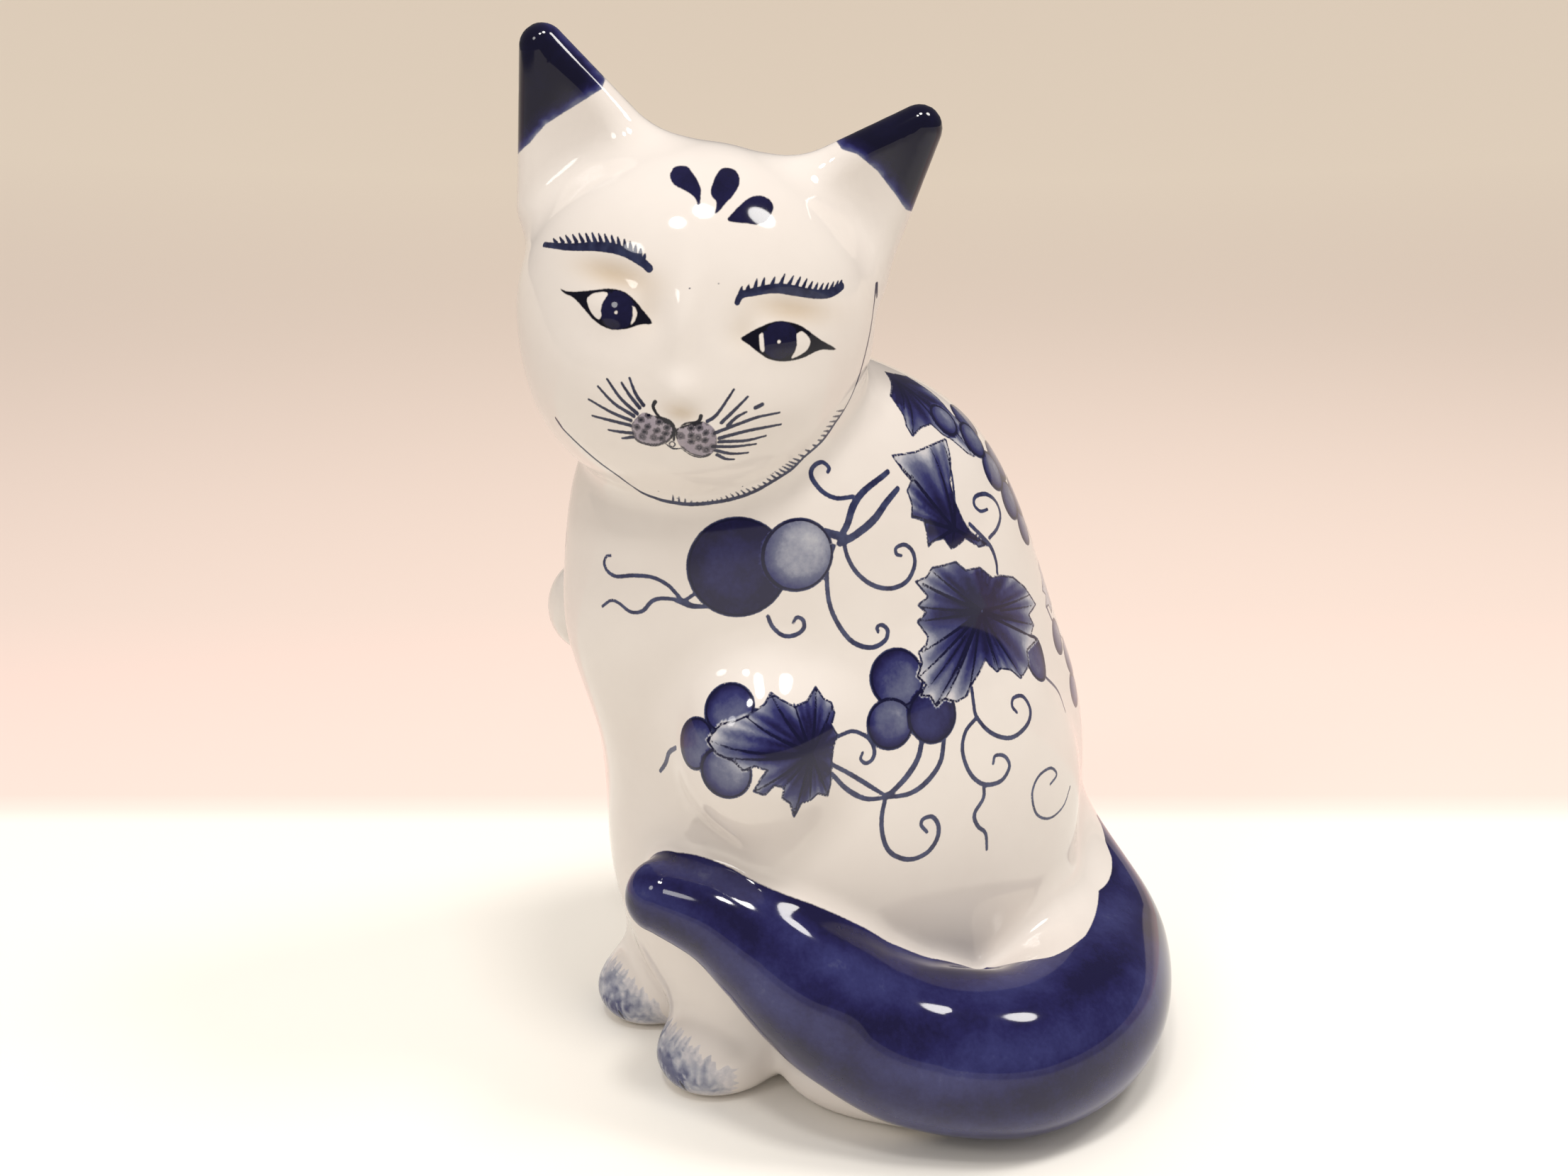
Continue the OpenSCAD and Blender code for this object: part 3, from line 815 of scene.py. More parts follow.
LEAVES = [  # heart, outline, ends of the veins
    ((128.8, 121.2),
     (125.3, 134.5, 127.7, 131.9, 132.8, 131.6, 135.8, 128.3, 139.6, 127.8, 143.9, 126.1, 147.6, 122.2, 150.3, 116.5,
      145.7, 115.3, 146.7, 112.2, 143.8, 110, 146.6, 108.3, 139.4, 107.9, 136.9, 104.8, 130.9, 103.3, 129.1, 106.1,
      126.1, 107.4, 124.2, 107, 122.8, 109.1, 122.6, 110.8, 118.6, 108.4, 113.3, 105.7, 111, 104, 107.7, 103.4, 104.2,
      104.8, 101.1, 103.5, 100.5, 106.1, 97.8, 106.6, 100.7, 108.9, 98.9, 110.8, 102.2, 113.7, 102.3, 116, 105.9,
      117.4, 107.5, 119, 105.7, 122.9, 109.7, 124.4, 107.6, 126.7, 111.9, 128, 110.8, 129.8, 109.2, 132.2, 113.3,
      132.6, 116.5, 134.5, 120.8, 134.4),
     (116, 133.7, 111.3, 131.5, 108.2, 126.1, 106.8, 122.9, 148.3, 119.8, 146.2, 112.4, 145.5, 108.7, 131.5, 103.8,
      125.1, 107.2, 111.7, 104.1, 105, 104.9, 101.4, 104.1, 99.9, 110.9, 103.5, 115.9)),
    ((62.2, 100.5),
     (66.8, 112.8, 68.2, 110.2, 70.1, 109, 70.3, 106.9, 68.6, 104.8, 69.6, 102.2, 67.9, 100.2, 66.6, 96.8, 65.4, 91.6,
      64.2, 88.6, 62.1, 90.2, 60.1, 88.8, 58.1, 88.7, 56, 85.1, 55.9, 89.3, 54.6, 91, 55.4, 93.8, 53.6, 94.6, 51.3,
      92.3, 49.4, 93.4, 51.2, 96.4, 52.8, 98.3, 50.4, 99.4, 48, 98.4, 46.6, 100.3, 45, 100.8, 42.8, 101.5, 40.5,
      103.7, 42.1, 105.6, 43.8, 107.5, 46.9, 108.4, 49.6, 109.5, 53.6, 111.5, 55.2, 113.4, 57.8, 111.8, 60.3, 110.4,
      63.6, 110.7),
     (66.7, 112.4, 60.4, 110.9, 55.3, 112.9, 49.6, 109.2, 41, 103.8, 45, 101, 49.7, 93.5, 55.5, 94, 56.2, 86, 60.2,
      89.5, 64.3, 89.2, 69.8, 108.2)),
    ((129.3, 141.9),
     (118, 160.9, 129, 160.5, 140.2, 161.1, 145.9, 161.3, 141.6, 157, 135.7, 152.2, 133.9, 147.6, 133.6, 143.3, 134.4,
      140.2, 139, 136.1, 135.2, 136.3, 131.9, 139.2, 127.7, 138, 125.4, 137.8, 124.4, 140.5, 120.6, 140.5, 117.7,
      139.5, 119, 143.3, 119.4, 145.9, 114.9, 146.9, 116.9, 149.7, 117.1, 152.9, 120.8, 154.8, 119.2, 157.1),
     (121.9, 156, 143.5, 160.6, 115.5, 147.3, 118, 140.1, 126, 138.3, 136.7, 160.2, 138, 136.4)),
    ((155.3, 174.6),
     (158.5, 176.4, 151.3, 174.5, 141, 172.3, 138.8, 170.2, 137, 168.1, 133.9, 166.1, 132.8, 163.8, 139.6, 165, 145.6,
      165.1, 146.1, 162.6, 148, 160.8, 149.7, 157, 151.3, 155.9, 155.8, 156.3, 156.8, 161.1, 159.6, 166.2, 163.8, 170,
      166.6, 174.1),
     (133.8, 164.3, 147.5, 163.8, 151.3, 156.6, 138.8, 168.8)),
]
WHISKERS = [
    (-6.4, -14.6, -8.4, -12.6, -10.2, -9.7), (-7.1, -15.3, -9.4, -13.4, -11.7, -11), (-7.4, -16.6, -11.2, -14.4,
    -14.8, -11), (-8, -17.3, -12.5, -15.7, -16.5, -13), (-8.5, -18.4, -12.6, -17.8, -18.1, -16.3), (-8.4, -19.5,
    -12.7, -19.6, -16.9, -19.7), (-7.8, -21.1, -10.5, -21.6, -13, -21.9), (-7.6, -22, -9.8, -23), (7.2, -15.4, 8.9,
    -13.6, 11.4, -8), (10.1, -15.3, 12.2, -12.4, 14.5, -9.1), (11.5, -15.7, 13, -13.7, 14.8, -12.3), (16.5, -11.2,
    17.8, -10.3), (9.1, -17.7, 13.3, -15.3, 17.4, -13.1, 21.7, -11.7), (10.2, -18.7, 15.7, -16.4, 20, -15, 22.5,
    -14.3), (10.3, -19.5, 15.8, -18.6, 19.8, -17.1), (9.2, -20.7, 13.4, -20.3, 18.1, -19.2), (9.9, -21.6, 13.4, -22,
    16.8, -21.4), (10.4, -22.6, 12.4, -23.4, 14.1, -23.3),
]
FACE = {
    "browR": (-34.4, 11.3, -31.4, 11.9, -28.8, 12.4, -25.7, 13.2, -22.8, 14, -19.9, 14.5, -17.5, 14.6, -15, 14.3, -13,
        13.7, -11.4, 13.1, -10.2, 12.4),
    "hairR": (-31.3, 12.4, -32.4, 13.1, -29.7, 12.9, -30.9, 13.8, -28.2, 13.4, -29.6, 14.5, -26.7, 13.9, -28, 15.1,
        -25.2, 14.2, -26.6, 15.7, -23.9, 14.6, -25.1, 16.1, -22.5, 14.9, -23.7, 16.5, -21.2, 15.1, -22.2, 16.7, -19.8,
        15.3, -20.9, 16.9, -18.5, 15.4, -19.4, 17, -17.3, 15.4, -18, 17, -16, 15.3, -16.5, 16.9, -14.8, 15.2, -15.2,
        16.7, -13.7, 14.9, -13.9, 16.3, -12.6, 14.5, -12.7, 15.8, -11.7, 14, -11.6, 15.1),
    "browL": (8.8, 9.2, 9.1, 10.4, 10, 11.2, 12, 11.9, 14.2, 12.7, 16.4, 13.2, 18.7, 13.3, 21.1, 13.2, 23.5, 13.1,
        25.9, 13.2, 27.8, 13.6, 29.1, 14.4, 30.1, 15.3),
    "hairL": (9.1, 11.2, 9.2, 12.5, 10.4, 11.9, 10.5, 13.1, 11.9, 12.5, 11.9, 14.4, 13.3, 12.9, 13.4, 14.9, 15.1,
        13.5, 15.5, 15.4, 16.9, 13.9, 17.4, 16.2, 18.6, 14, 19.3, 16.1, 20.2, 13.9, 20.8, 16.1, 21.7, 13.8, 22.2,
        15.9, 23, 13.7, 23.5, 15.6, 24.3, 13.7, 24.7, 15.4, 25.4, 13.7, 25.9, 15.4, 26.6, 13.8, 27, 15.6, 27.7, 14.1,
        28.1, 15.9, 28.7, 14.6, 29.1, 16.2, 29.5, 15.2, 29.9, 16.4),
    "eyeR": (-28.4, 4, -26.6, 3.9, -23.4, 4.8, -20.6, 5.8, -17.8, 6.7, -14.9, 6.9, -12.6, 6.1, -10.1, 4.2, -7.6, 2,
        -10, 1.2, -12.2, 0, -14.9, -0.9, -17.3, -0.9, -20, 0, -22.5, 1.6, -25.1, 3, -27.3, 3.3),
    "whiteR1": (-22, 3.8, -20.9, 5, -18.4, 5.9, -17.8, 5.5, -18.5, 3.8, -18.6, 2.2, -18.3, 1.2, -18.8, 0.3, -20.4,
        1.1, -21.6, 2.6),
    "whiteR2": (-12.3, 4.4, -11.6, 4.3, -11, 3.1, -11.3, 1.5, -11.9, 0.9, -11.8, 2.7),
    "dotR": (-15.3, 2.6),
    "irisR": (-15.2, 3),
    "eyeL": (10.8, 2.3, 13, 4.2, 15.5, 5.9, 18.1, 6.9, 21.4, 6.8, 23.9, 6, 27.2, 4.2, 31, 2.5, 30.9, 2, 28.6, 2, 26.8,
        1.4, 24.4, 0, 21, -1, 17.7, -1, 15.2, 0, 12.9, 1.2),
    "whiteL1": (22.2, 4.9, 23.3, 5.4, 25, 4.2, 25.4, 2.9, 24.8, 1.5, 23.4, 0.4, 22, -0.2, 22.5, 1.3, 22.6, 2.9),
    "whiteL2": (14.5, 3.7, 15.1, 4.1, 15.6, 2.7, 16.1, 0.5, 15.3, 0.7, 14.8, 2.2),
    "dotL": (18.8, 2.9),
    "irisL": (18.9, 3.1),
    "specks": (-1.3, 10.4, 4.3, 12.3, -0.8, -35.1, 3.5, -35.6, -3.2, -39.7, 16.9, -30.2, 22.9, -26.5),
    "padR": (-8.2, -18.9, -7.3, -17.3, -6, -16, -4.1, -16.2, -1.8, -16.1, 0.1, -16.7, 1, -18.3, 0.7, -20.1, -0.6,
        -21.6, -2.5, -22.8, -4.6, -23, -6.5, -22.8, -7.7, -21.4),
    "padL": (1, -18.3, 2.1, -17.3, 3.8, -16.4, 5.9, -15.6, 7.9, -16.1, 9.2, -17.3, 9.9, -19.6, 9.6, -21.9, 8.3, -23.4,
        6.1, -23.5, 4.1, -22.8, 2.4, -21.7, 1.4, -20),
    "rimR": (-7.5, -21.6, -6.5, -22.7, -4.6, -23, -2.5, -22.8, -0.6, -21.6, 0.7, -20.3),
    "rimL": (2.9, -22.3, 4.9, -23.4, 7.2, -23.7, 9, -22.8),
    "dotsR": (-5.1, -16.4, -6.5, -17.7, -7.1, -19.5, -4.9, -18.8, -5.4, -20.1, -2.7, -17.3, -2.9, -19.3, -0.9, -18.2,
        -1, -19.6, -1.7, -20.8),
    "ringsR": (-5.6, -21.3, -3.2, -20.9),
    "dotsL": (4, -17.4, 5.7, -17, 4.3, -18.9, 7.2, -17.9, 7.3, -19.5, 4.5, -20.3),
    "ringsL": (2.3, -19.4, 5.9, -19.1, 6.5, -21.3, 8, -21.7),
    "nostrilR": (-4.1, -13.3, -4.4, -14.3, -3.6, -15.5, -2.3, -16.4, -0.8, -16.9, 0.5, -17.5),
    "nostrilL": (5.7, -14.5, 5.5, -15.5, 4.5, -16.1, 3.2, -16.4, 2.1, -17.2),
    "philtrum": (0.9, -18.1, 0.9, -19.5, 1, -20.7),
    "lip": (-0.7, -21.7, 0.3, -22.4, 1.4, -22.7, 2.9, -22.2),
    "mouth": (0.8, -21.7),
    "jaw": (-23.4, -25.5, -19.3, -28, -14.6, -30.8, -10, -33.3, -5.4, -36.3, -0.4, -36.8, 4.4, -36.6, 9.1, -36, 12.9,
        -35, 16.4, -33, 19.8, -30.7, 23.2, -28, 26.3, -25.5, 28.6, -22.9),
    "petal1": (-10, 31.3, -9.5, 32.5, -8.1, 33.1, -6.7, 33.1, -5.7, 32.4, -4.5, 31.4, -3.3, 30, -2.8, 28.8, -2.5,
        25.6, -3.6, 27.4, -5.3, 28.3, -7.2, 28.8, -8.6, 29.2, -9.7, 30.2),
    "petal2": (-0.5, 32.6, 0.2, 34, 1.6, 34.5, 3.2, 34.3, 4.3, 33.2, 4.6, 31.5, 3.7, 29.2, 2.7, 27.8, 1.8, 26.2, 0.9,
        25.4, 0.9, 26.7, 0.6, 27.8, -0.5, 28.6, -0.9, 29.7, -0.8, 31.1),
    "petal3": (3.7, 25, 4.4, 26.1, 5.5, 27.7, 6.9, 29.3, 8.6, 30.3, 10.6, 30.3, 12, 29.6, 12.6, 28.5, 12.3, 27.1,
        11.5, 25.7, 9.8, 24.8, 7.7, 24.7, 5.6, 24.5, 4.1, 24.5),
    "jaw2": (38.6, 15.9, 39.2, 12.9),
    "jaw3": (38.4, 15.8, 38.9, 9.6, 38.8, 2, 38.2, -5.6, 36.9, -11, 34.7, -15.1, 32.4, -18.8, 28.6, -22.8),
    "jaw4": (-23.4, -25.5, -25.3, -23.6),
}


def rows(values, size=2):
    """A flat table as rows of this size."""
    return list(zip(*[iter(values)] * size))


VINE_LINES = [(width, rows(places)) for width, places in VINE_LINES]
LEAVES = [(heart, rows(outline), rows(veins)) for heart, outline, veins in LEAVES]
WHISKERS = [rows(places) for places in WHISKERS]
SHORT_WHISKER = WHISKERS[11]
FACE = {name: rows(values, 4 if name.startswith("hair") else 2) for name, values in FACE.items()}


# ---------------------------------------------------------------- marks

TAIL_FINE_STEPS = 20
TAIL_FINE = eased(TAIL_ROUTE, TAIL_FINE_STEPS)
TAIL_LENGTHS = np.concatenate([[0], np.cumsum(np.linalg.norm(np.diff(TAIL_FINE[:, :3], axis=0), axis=1))])
# Where the blue begins over the tail's back: distance along the tail, and degrees over from its crest
TAIL_EDGE = np.array([
    (36, -20), (42, -14), (48, -13), (56, -6), (69, 5), (82, 4), (95, 3), (104, 6), (113, 11), (124, 5),
    (138, 13), (148, 19), (160, 34), (178, 22), (189, 6), (203, 2), (210, 20), (216, 100), (222, 180)], float)
BLUE_FROM, CREASE_FROM, CREASE_OVER = 36, 108, 14  # along the tail: where the blue starts and meets the crease
BACK_GRAPES = [  # turn, height, radius
    (153, 165, 4.5), (157, 159, 5.0), (163, 163, 5.0), (156, 151, 5.2), (163, 152, 5.5), (157, 143, 5.2),
    (164, 142, 5.5), (159, 135, 4.8), (167, 132, 5.0), (158, 104, 4.8), (162, 96, 5.2), (158, 88, 4.6),
    (186, 104, 5.2), (194, 110, 5.0)]
EAR_PATCHES = [  # outlines of the dark tips, running out past the ears' edges
    [(-43.5, 58), (-40.5, 56.2), (-35.6, 53), (-31.5, 50), (-28.6, 47), (-28.7, 45), (-32.1, 41.9), (-36, 38.6),
     (-39.6, 35.4), (-42.4, 31), (-46, 27), (-60, 26), (-60, 66), (-45, 66)],
    [(23.7, 44), (22, 48), (30, 58), (42, 66), (60, 62), (60, 30), (47, 29), (43.4, 32.4), (41.7, 32.7),
     (38.3, 35.8), (33.6, 39.7), (28.5, 42.3), (25.1, 42.6)]]
SHADES = [  # painted shade on the face, warm shadow over the eye sockets, beside the nose and under it: x, z, half-widths, depth
    (-17.5, 9.6, 8.0, 2.8, 0.6), (20.5, 9.4, 8.0, 2.8, 0.55), (1.6, -14.4, 3.2, 1.6, 0.5),
    (-9.5, 4.0, 3.0, 4.0, 0.2), (11.0, 3.5, 3.0, 4.0, 0.2)]


def tail_place(p):
    """Distance along the tail, degrees over its crest (outwards is negative), radius there and distance to it."""
    stop, middle, way, radius = tail_nearest(p)
    along = np.interp(stop * TAIL_FINE_STEPS, np.arange(len(TAIL_LENGTHS)), TAIL_LENGTHS)
    way = unit(way)
    side = unit(np.cross(way, [0, 0, 1.0]))
    up = np.cross(side, way)
    v = p - middle
    over = np.degrees(np.arctan2((v * side).sum(1), (v * up).sum(1)))
    return along, over, radius, np.linalg.norm(v, axis=1) - radius


def tail_area():
    """The tail's blue: up to its edge over the crest, and into the crease against the body further on."""
    def depth(p):
        along, over, wide, gap = tail_place(p)
        edge = np.interp(along, TAIL_EDGE[:, 0], TAIL_EDGE[:, 1])
        over = np.where(over > 178, over - 360, over)
        across = np.radians(edge - over) * wide
        start = along - BLUE_FROM - 3 * np.sin(over / 17) - 0.06 * (over + 20)
        d = piece_distances(p.astype(np.float32))
        other = np.minimum(np.minimum(d["body_shell"], d["left_foreleg"]), d["left_hind_foot"])
        crease = (other - gap) / 2 - 0.2
        late = np.clip((along - CREASE_FROM) / CREASE_OVER, 0, 1)
        late = late * late * (3 - 2 * late)
        inward = np.where(over > -70, across * (1 - late) + crease * late, crease * late + 3 * (1 - late))
        near = np.where(over > -70, 7.0, 1.6) - gap
        return np.minimum(np.minimum(inward, start), near)

    def tone(p, d):
        along, over, _, _ = tail_place(p)
        streak = 0.09 * np.sin(over / 9 + 2.2 * np.sin(along / 23)) + 0.06 * np.sin(along / 7 + over / 25)
        return tones(np.clip(0.86 + streak, 0, 1))

    low, high = TAIL_PATH[:, :3].min(0) - 26, TAIL_PATH[:, :3].max(0) + 26
    return Area(low, high, depth, tone)


def paw_marks(side):
    """Feathery brushwork over the front of a paw."""
    marks = []
    middle = np.array([side * LEG_X, *PAW_MIDDLE], float)

    def depth(p):
        x, z = p[:, 0] - side * LEG_X, p[:, 2]
        top = 16.5 + 0.6 * np.sin(1.9 * x) + 0.5 * np.sin(4.3 * x + 1) - 0.03 * x * x
        edge = -46.5 + 0.9 * np.sin(2.9 * z + x)
        return np.minimum(np.minimum(top - z, z - 1.8), np.minimum(14.5 - np.abs(x), edge - p[:, 1]))

    def tone(p, d):
        x, z = p[:, 0] - side * LEG_X, p[:, 2]
        blot = 0.35 * np.exp(-((np.abs(x) - 4.5) / 2.4) ** 2 - ((z - 5) / 2.8) ** 2)
        streak = 0.16 * np.sin(4.3 * x + 0.5 * z) + 0.12 * np.sin(9.1 * x - 0.8 * z)
        return tones(np.clip((0.40 + streak) * np.clip(0.06 + d / 6.5, 0, 1) + blot, 0.02, 0.95))

    marks.append(Area(middle - 22, middle + 22, depth, tone))
    for x in (-5.5, 0.5, 6.0):
        marks.append(Stroke(on_paw([(x, 3.0), (x + 0.4, 5.0), (x + 0.2, 6.5)], side), (0.8, 1.0, 0.4)))
    return marks


def mirrored(places):
    return [(-a, b) for a, b in places]


def vine_marks():
    """The vine on the left flank, and its mirror image on the right one."""
    marks = []
    for flip in (False, True):
        def placed(places):
            return mirrored(places) if flip else places
        for width, places in VINE_LINES:
            wide = 0.4 + 0.95 * width
            marks.append(Stroke(on_body(round_places(placed(places))), (wide * 0.85, wide, wide * 0.7)))
        for turn, height, radius, dark, side, up, reach in GRAPES:
            marks += grape(placed([(turn, height)])[0], radius, dark, placed([(side, up)])[0], reach)
        for heart, outline, veins in LEAVES:
            marks += leaf(placed([heart])[0], placed(outline), placed(veins))
        spot = on_body(placed([LEAVES[0][0]]))[0]
        marks.append(Area(spot - 3, spot + 3, lambda p, at=spot: 0.4 - np.linalg.norm(p - at, axis=1), None, True))
    return marks


def back_marks():
    """Leaves and grapes down the back, where the two sides of the vine meet."""
    marks = []
    main, low = LEAVES[0], LEAVES[1]
    for (heart, outline, veins), turn, height in ((main, 187, 128), (low, 186, 84)):
        dx, dz = turn - heart[0], height - heart[1]
        def moved(places):
            return [(a + dx, b + dz) for a, b in places]
        marks += leaf(moved([heart])[0], moved(outline), moved(veins))
    for turn, height, radius in BACK_GRAPES:
        marks = grape((turn, height), radius, 0.6, (-0.7, -0.3), 0.35) + marks
    return marks


def face_marks():
    """Eyes, brows, nose, mouth, whiskers, jaw line and petals, and the dark ear tips."""
    dark, mauve, night = tones(1.0, 1.0), tones(0.40, 0.0, 0.75), tones(0.9, 0.6)
    marks = []
    for side in "RL":
        marks.append(face_area(FACE["eye" + side], dark))
        for part in "12":
            marks.append(face_area(FACE["white" + side + part], dark, hole=True))
        marks.append(face_area(ring(FACE["iris" + side][0], 3.3), night))
        marks.append(face_area(ring(FACE["dot" + side][0], 0.35), dark, hole=True))
        marks.append(face_stroke(FACE["brow" + side], (1.2, 2.2, 1.7), 0.35))
        for x0, z0, x1, z1 in FACE["hair" + side]:
            marks.append(face_stroke([(x0, z0), (x1, z1)], (0.95, 0.75, 0.35), 0.45))
        marks.append(face_area(FACE["pad" + side], mauve))
        marks.append(face_stroke(FACE["rim" + side], (0.2, 0.4, 0.2), 0.8))
        marks.append(face_stroke(FACE["nostril" + side], (0.9, 0.55, 0.4)))
        for spot in FACE["dots" + side]:
            marks.append(Stroke(on_head([spot, (spot[0] + 0.2, spot[1] + 0.1)]), (0.6, 0.6, 0.6), 0.7))
        for spot in FACE["rings" + side]:
            marks.append(Stroke(on_head(ring(spot, 0.4, 10)), (0.2, 0.2, 0.2), 0.6))
    marks.append(face_stroke(FACE["philtrum"], (0.5, 0.6, 0.5)))
    marks.append(face_stroke(FACE["lip"], (0.3, 0.4, 0.3), 0.8))
    marks.append(Stroke(on_head(ring(FACE["mouth"][0], 0.6, 14)), (0.3, 0.3, 0.3), 0.8))
    for whisker in WHISKERS:
        marks.append(face_stroke(whisker, (0.9, 0.9, 0.9) if whisker == SHORT_WHISKER else (0.85, 0.75, 0.5), 0.5))
    for name in ("jaw", "jaw2", "jaw3", "jaw4"):
        marks.append(face_stroke(FACE[name], (0.7, 0.95, 0.7), 0.35))
    jaw = np.array(round_places(FACE["jaw"] + FACE["jaw3"][::-1][1:4], 0.7))
    for i, (a, b) in enumerate(zip(jaw[:-1], jaw[1:])):
        if a[0] > 2 and i % 2 == 0:
            d = unit(b - a)
            out = 0.8 + 0.9 * abs(math.sin(i * 1.7))
            tip = a + out * (np.array([-d[1], d[0]]) - 0.3 * d)
            marks.append(face_stroke([tuple(a), tuple(tip)], (0.6, 0.5, 0.25), 0.35))
    for part in "123":
        marks.append(face_area(FACE["petal" + part], tones(0.92, 0.45)))
    for spot in FACE["specks"]:
        marks.append(Stroke(on_head([spot, (spot[0] + 0.1, spot[1])]), (0.3, 0.3, 0.3), 0.3))
    for outline in EAR_PATCHES:
        marks.append(face_area(outline, ear_tone, smooth=False, front=5.5))
    return marks


def ear_tone(p, depth):
    """Bluer and thinner along the edge of the patch, almost black inside."""
    q = in_head(p)
    patchy = 0.12 * np.sin(q[:, 0] * 1.3 + 2 * np.sin(q[:, 2] * 0.7)) * np.sin(q[:, 2] * 1.1)
    return tones(np.clip(0.42 + 0.34 * depth + patchy, 0, 1), np.clip(0.35 * depth - 0.45, 0, 0.75))


def ring(middle, radius, count=20):
    """Places round a circle, back to the first."""
    a = np.linspace(0, 2 * np.pi, count)
    return [(middle[0] + radius * math.cos(t), middle[1] + radius * math.sin(t)) for t in a]


def coloured(points, marks):
    """The paint channels at these points."""
    state = {name: np.full(len(points), value) for name, value in UNPAINTED.items()}
    for mark in marks:
        mark.lay(points, state)
    # painted shade: a warm shadow tint over the eye sockets and round the nose, from SHADES
    q = in_head(points)
    face = q[:, 1] < -10
    for x, z, wide, tall, deep in SHADES:
        state["shade"] += face * deep * bump(q[:, 0], q[:, 2], x, z, wide, tall)
    return state


# ---------------------------------------------------------------- materials

class Material:
    """A new material and short ways to add nodes to it."""

    def __init__(self, name):
        self.data = bpy.data.materials.new(name)
        self.data.use_nodes = True
        self.tree = self.data.node_tree
        self.shader = self.tree.nodes["Principled BSDF"].inputs
        self.where = self.add("TexCoord").outputs["Object"]

    def add(self, kind):
        return self.tree.nodes.new("ShaderNode" + kind)

    def put(self, value, socket):
        """A node's output linked to the socket, or a plain value set on it."""
        if isinstance(value, bpy.types.NodeSocket):
            self.tree.links.new(value, socket)
        else:
            socket.default_value = (*value, 1) if isinstance(value, tuple) else value

    def channel(self, name):
        n = self.add("Attribute")
        n.attribute_name = name
        return n.outputs["Fac"]

    def math(self, operation, *values, clamp=False):
        n = self.add("Math")
        n.operation, n.use_clamp = operation, clamp
        for value, socket in zip(values, n.inputs):
            self.put(value, socket)
        return n.outputs[0]

    def noise(self, scale, detail, rough=0.5):
        n = self.add("TexNoise")
        for name, value in (("Scale", scale), ("Detail", detail), ("Roughness", rough), ("Vector", self.where)):
            self.put(value, n.inputs[name])
        return n.outputs["Fac"]

    def ramp(self, value, *stops):
        n = self.add("ValToRGB")
        stay = n.color_ramp.elements
        stay[0].position, stay[1].position = stops[0][0], stops[-1][0]
        stay[0].color, stay[1].color = (*stops[0][1], 1), (*stops[-1][1], 1)
        for at, colour in stops[1:-1]:
            stay.new(at).color = (*colour, 1)
        self.put(value, n.inputs["Fac"])
        return n.outputs["Color"]

    def mix(self, share, a, b):
        n = self.add("Mix")
        n.data_type = "RGBA"
        colours = [s for s in n.inputs if s.type == "RGBA"]
        self.put(share, [s for s in n.inputs if s.name == "Factor" and s.type == "VALUE"][0])
        self.put(a, colours[0])
        self.put(b, colours[1])
        return [s for s in n.outputs if s.type == "RGBA"][0]


def glaze():
    """Ivory glaze over cobalt brushwork that pools and thins."""
    m = Material("glaze")
    rag = m.math("MULTIPLY", m.math("SUBTRACT", m.noise(1500, 2), 0.5), 0.22)
    ink = m.math("MULTIPLY_ADD", m.math("ADD", m.channel("ink"), rag), 5.0, 0.5, clamp=True)
    fill = m.math("MULTIPLY_ADD", m.math("ADD", m.channel("fill"), rag), 4.0, 0.5, clamp=True)
    blotch = m.math("SUBTRACT", m.noise(150, 4, 0.6), 0.5)
    grit = m.math("SUBTRACT", m.noise(900, 3, 0.6), 0.5)
    patchy = m.math("MULTIPLY_ADD", blotch, 0.35, m.math("MULTIPLY", grit, 0.16))
    density = m.math("ADD", m.channel("wash"), patchy, clamp=True)
    blue = m.ramp(density, (0.0, (0.62, 0.59, 0.60)), (0.22, (0.33, 0.34, 0.40)), (0.45, (0.115, 0.125, 0.205)),
                  (0.7, (0.030, 0.032, 0.12)), (0.88, (0.015, 0.014, 0.072)), (1.0, (0.009, 0.008, 0.040)))
    mauve = m.ramp(density, (0.0, (0.62, 0.54, 0.52)), (0.5, (0.27, 0.225, 0.27)), (1.0, (0.08, 0.06, 0.09)))
    night = (0.0035, 0.0035, 0.010)
    paint = m.mix(m.channel("black"), m.mix(m.channel("warm"), blue, mauve), night)
    thin = m.ramp(m.noise(400, 2), (0.3, (0.016, 0.018, 0.060)), (0.7, (0.045, 0.055, 0.125)))
    line = m.mix(m.channel("black"), m.mix(fill, thin, (0.006, 0.006, 0.030)), night)
    ivory = m.ramp(m.noise(28, 4, 0.55), (0.3, (0.69, 0.635, 0.595)), (0.7, (0.725, 0.675, 0.635)))
    # painted shade: the ivory turns warm brown where the shade channel is set
    ivory = m.mix(m.channel("shade"), ivory, (0.46, 0.34, 0.20))
    m.put(m.mix(ink, m.mix(fill, ivory, paint), line), m.shader["Base Color"])
    m.put(0.07, m.shader["Roughness"])
    m.put(1.46, m.shader["IOR"])
    return m.data


def clay():
    """Unglazed fired clay: fine grit, a few darker specks and a dry surface."""
    m = Material("bare clay")
    m.put(m.ramp(m.noise(700, 5), (0.30, (0.42, 0.33, 0.24)), (0.42, (0.60, 0.51, 0.40)),
                 (0.62, (0.66, 0.57, 0.46))), m.shader["Base Color"])
    grit = m.add("Bump")
    grit.inputs["Strength"].default_value = 0.35
    grit.inputs["Distance"].default_value = 0.0002
    m.put(m.noise(2500, 3), grit.inputs["Height"])
    m.put(grit.outputs["Normal"], m.shader["Normal"])
    m.put(0.85, m.shader["Roughness"])
    return m.data


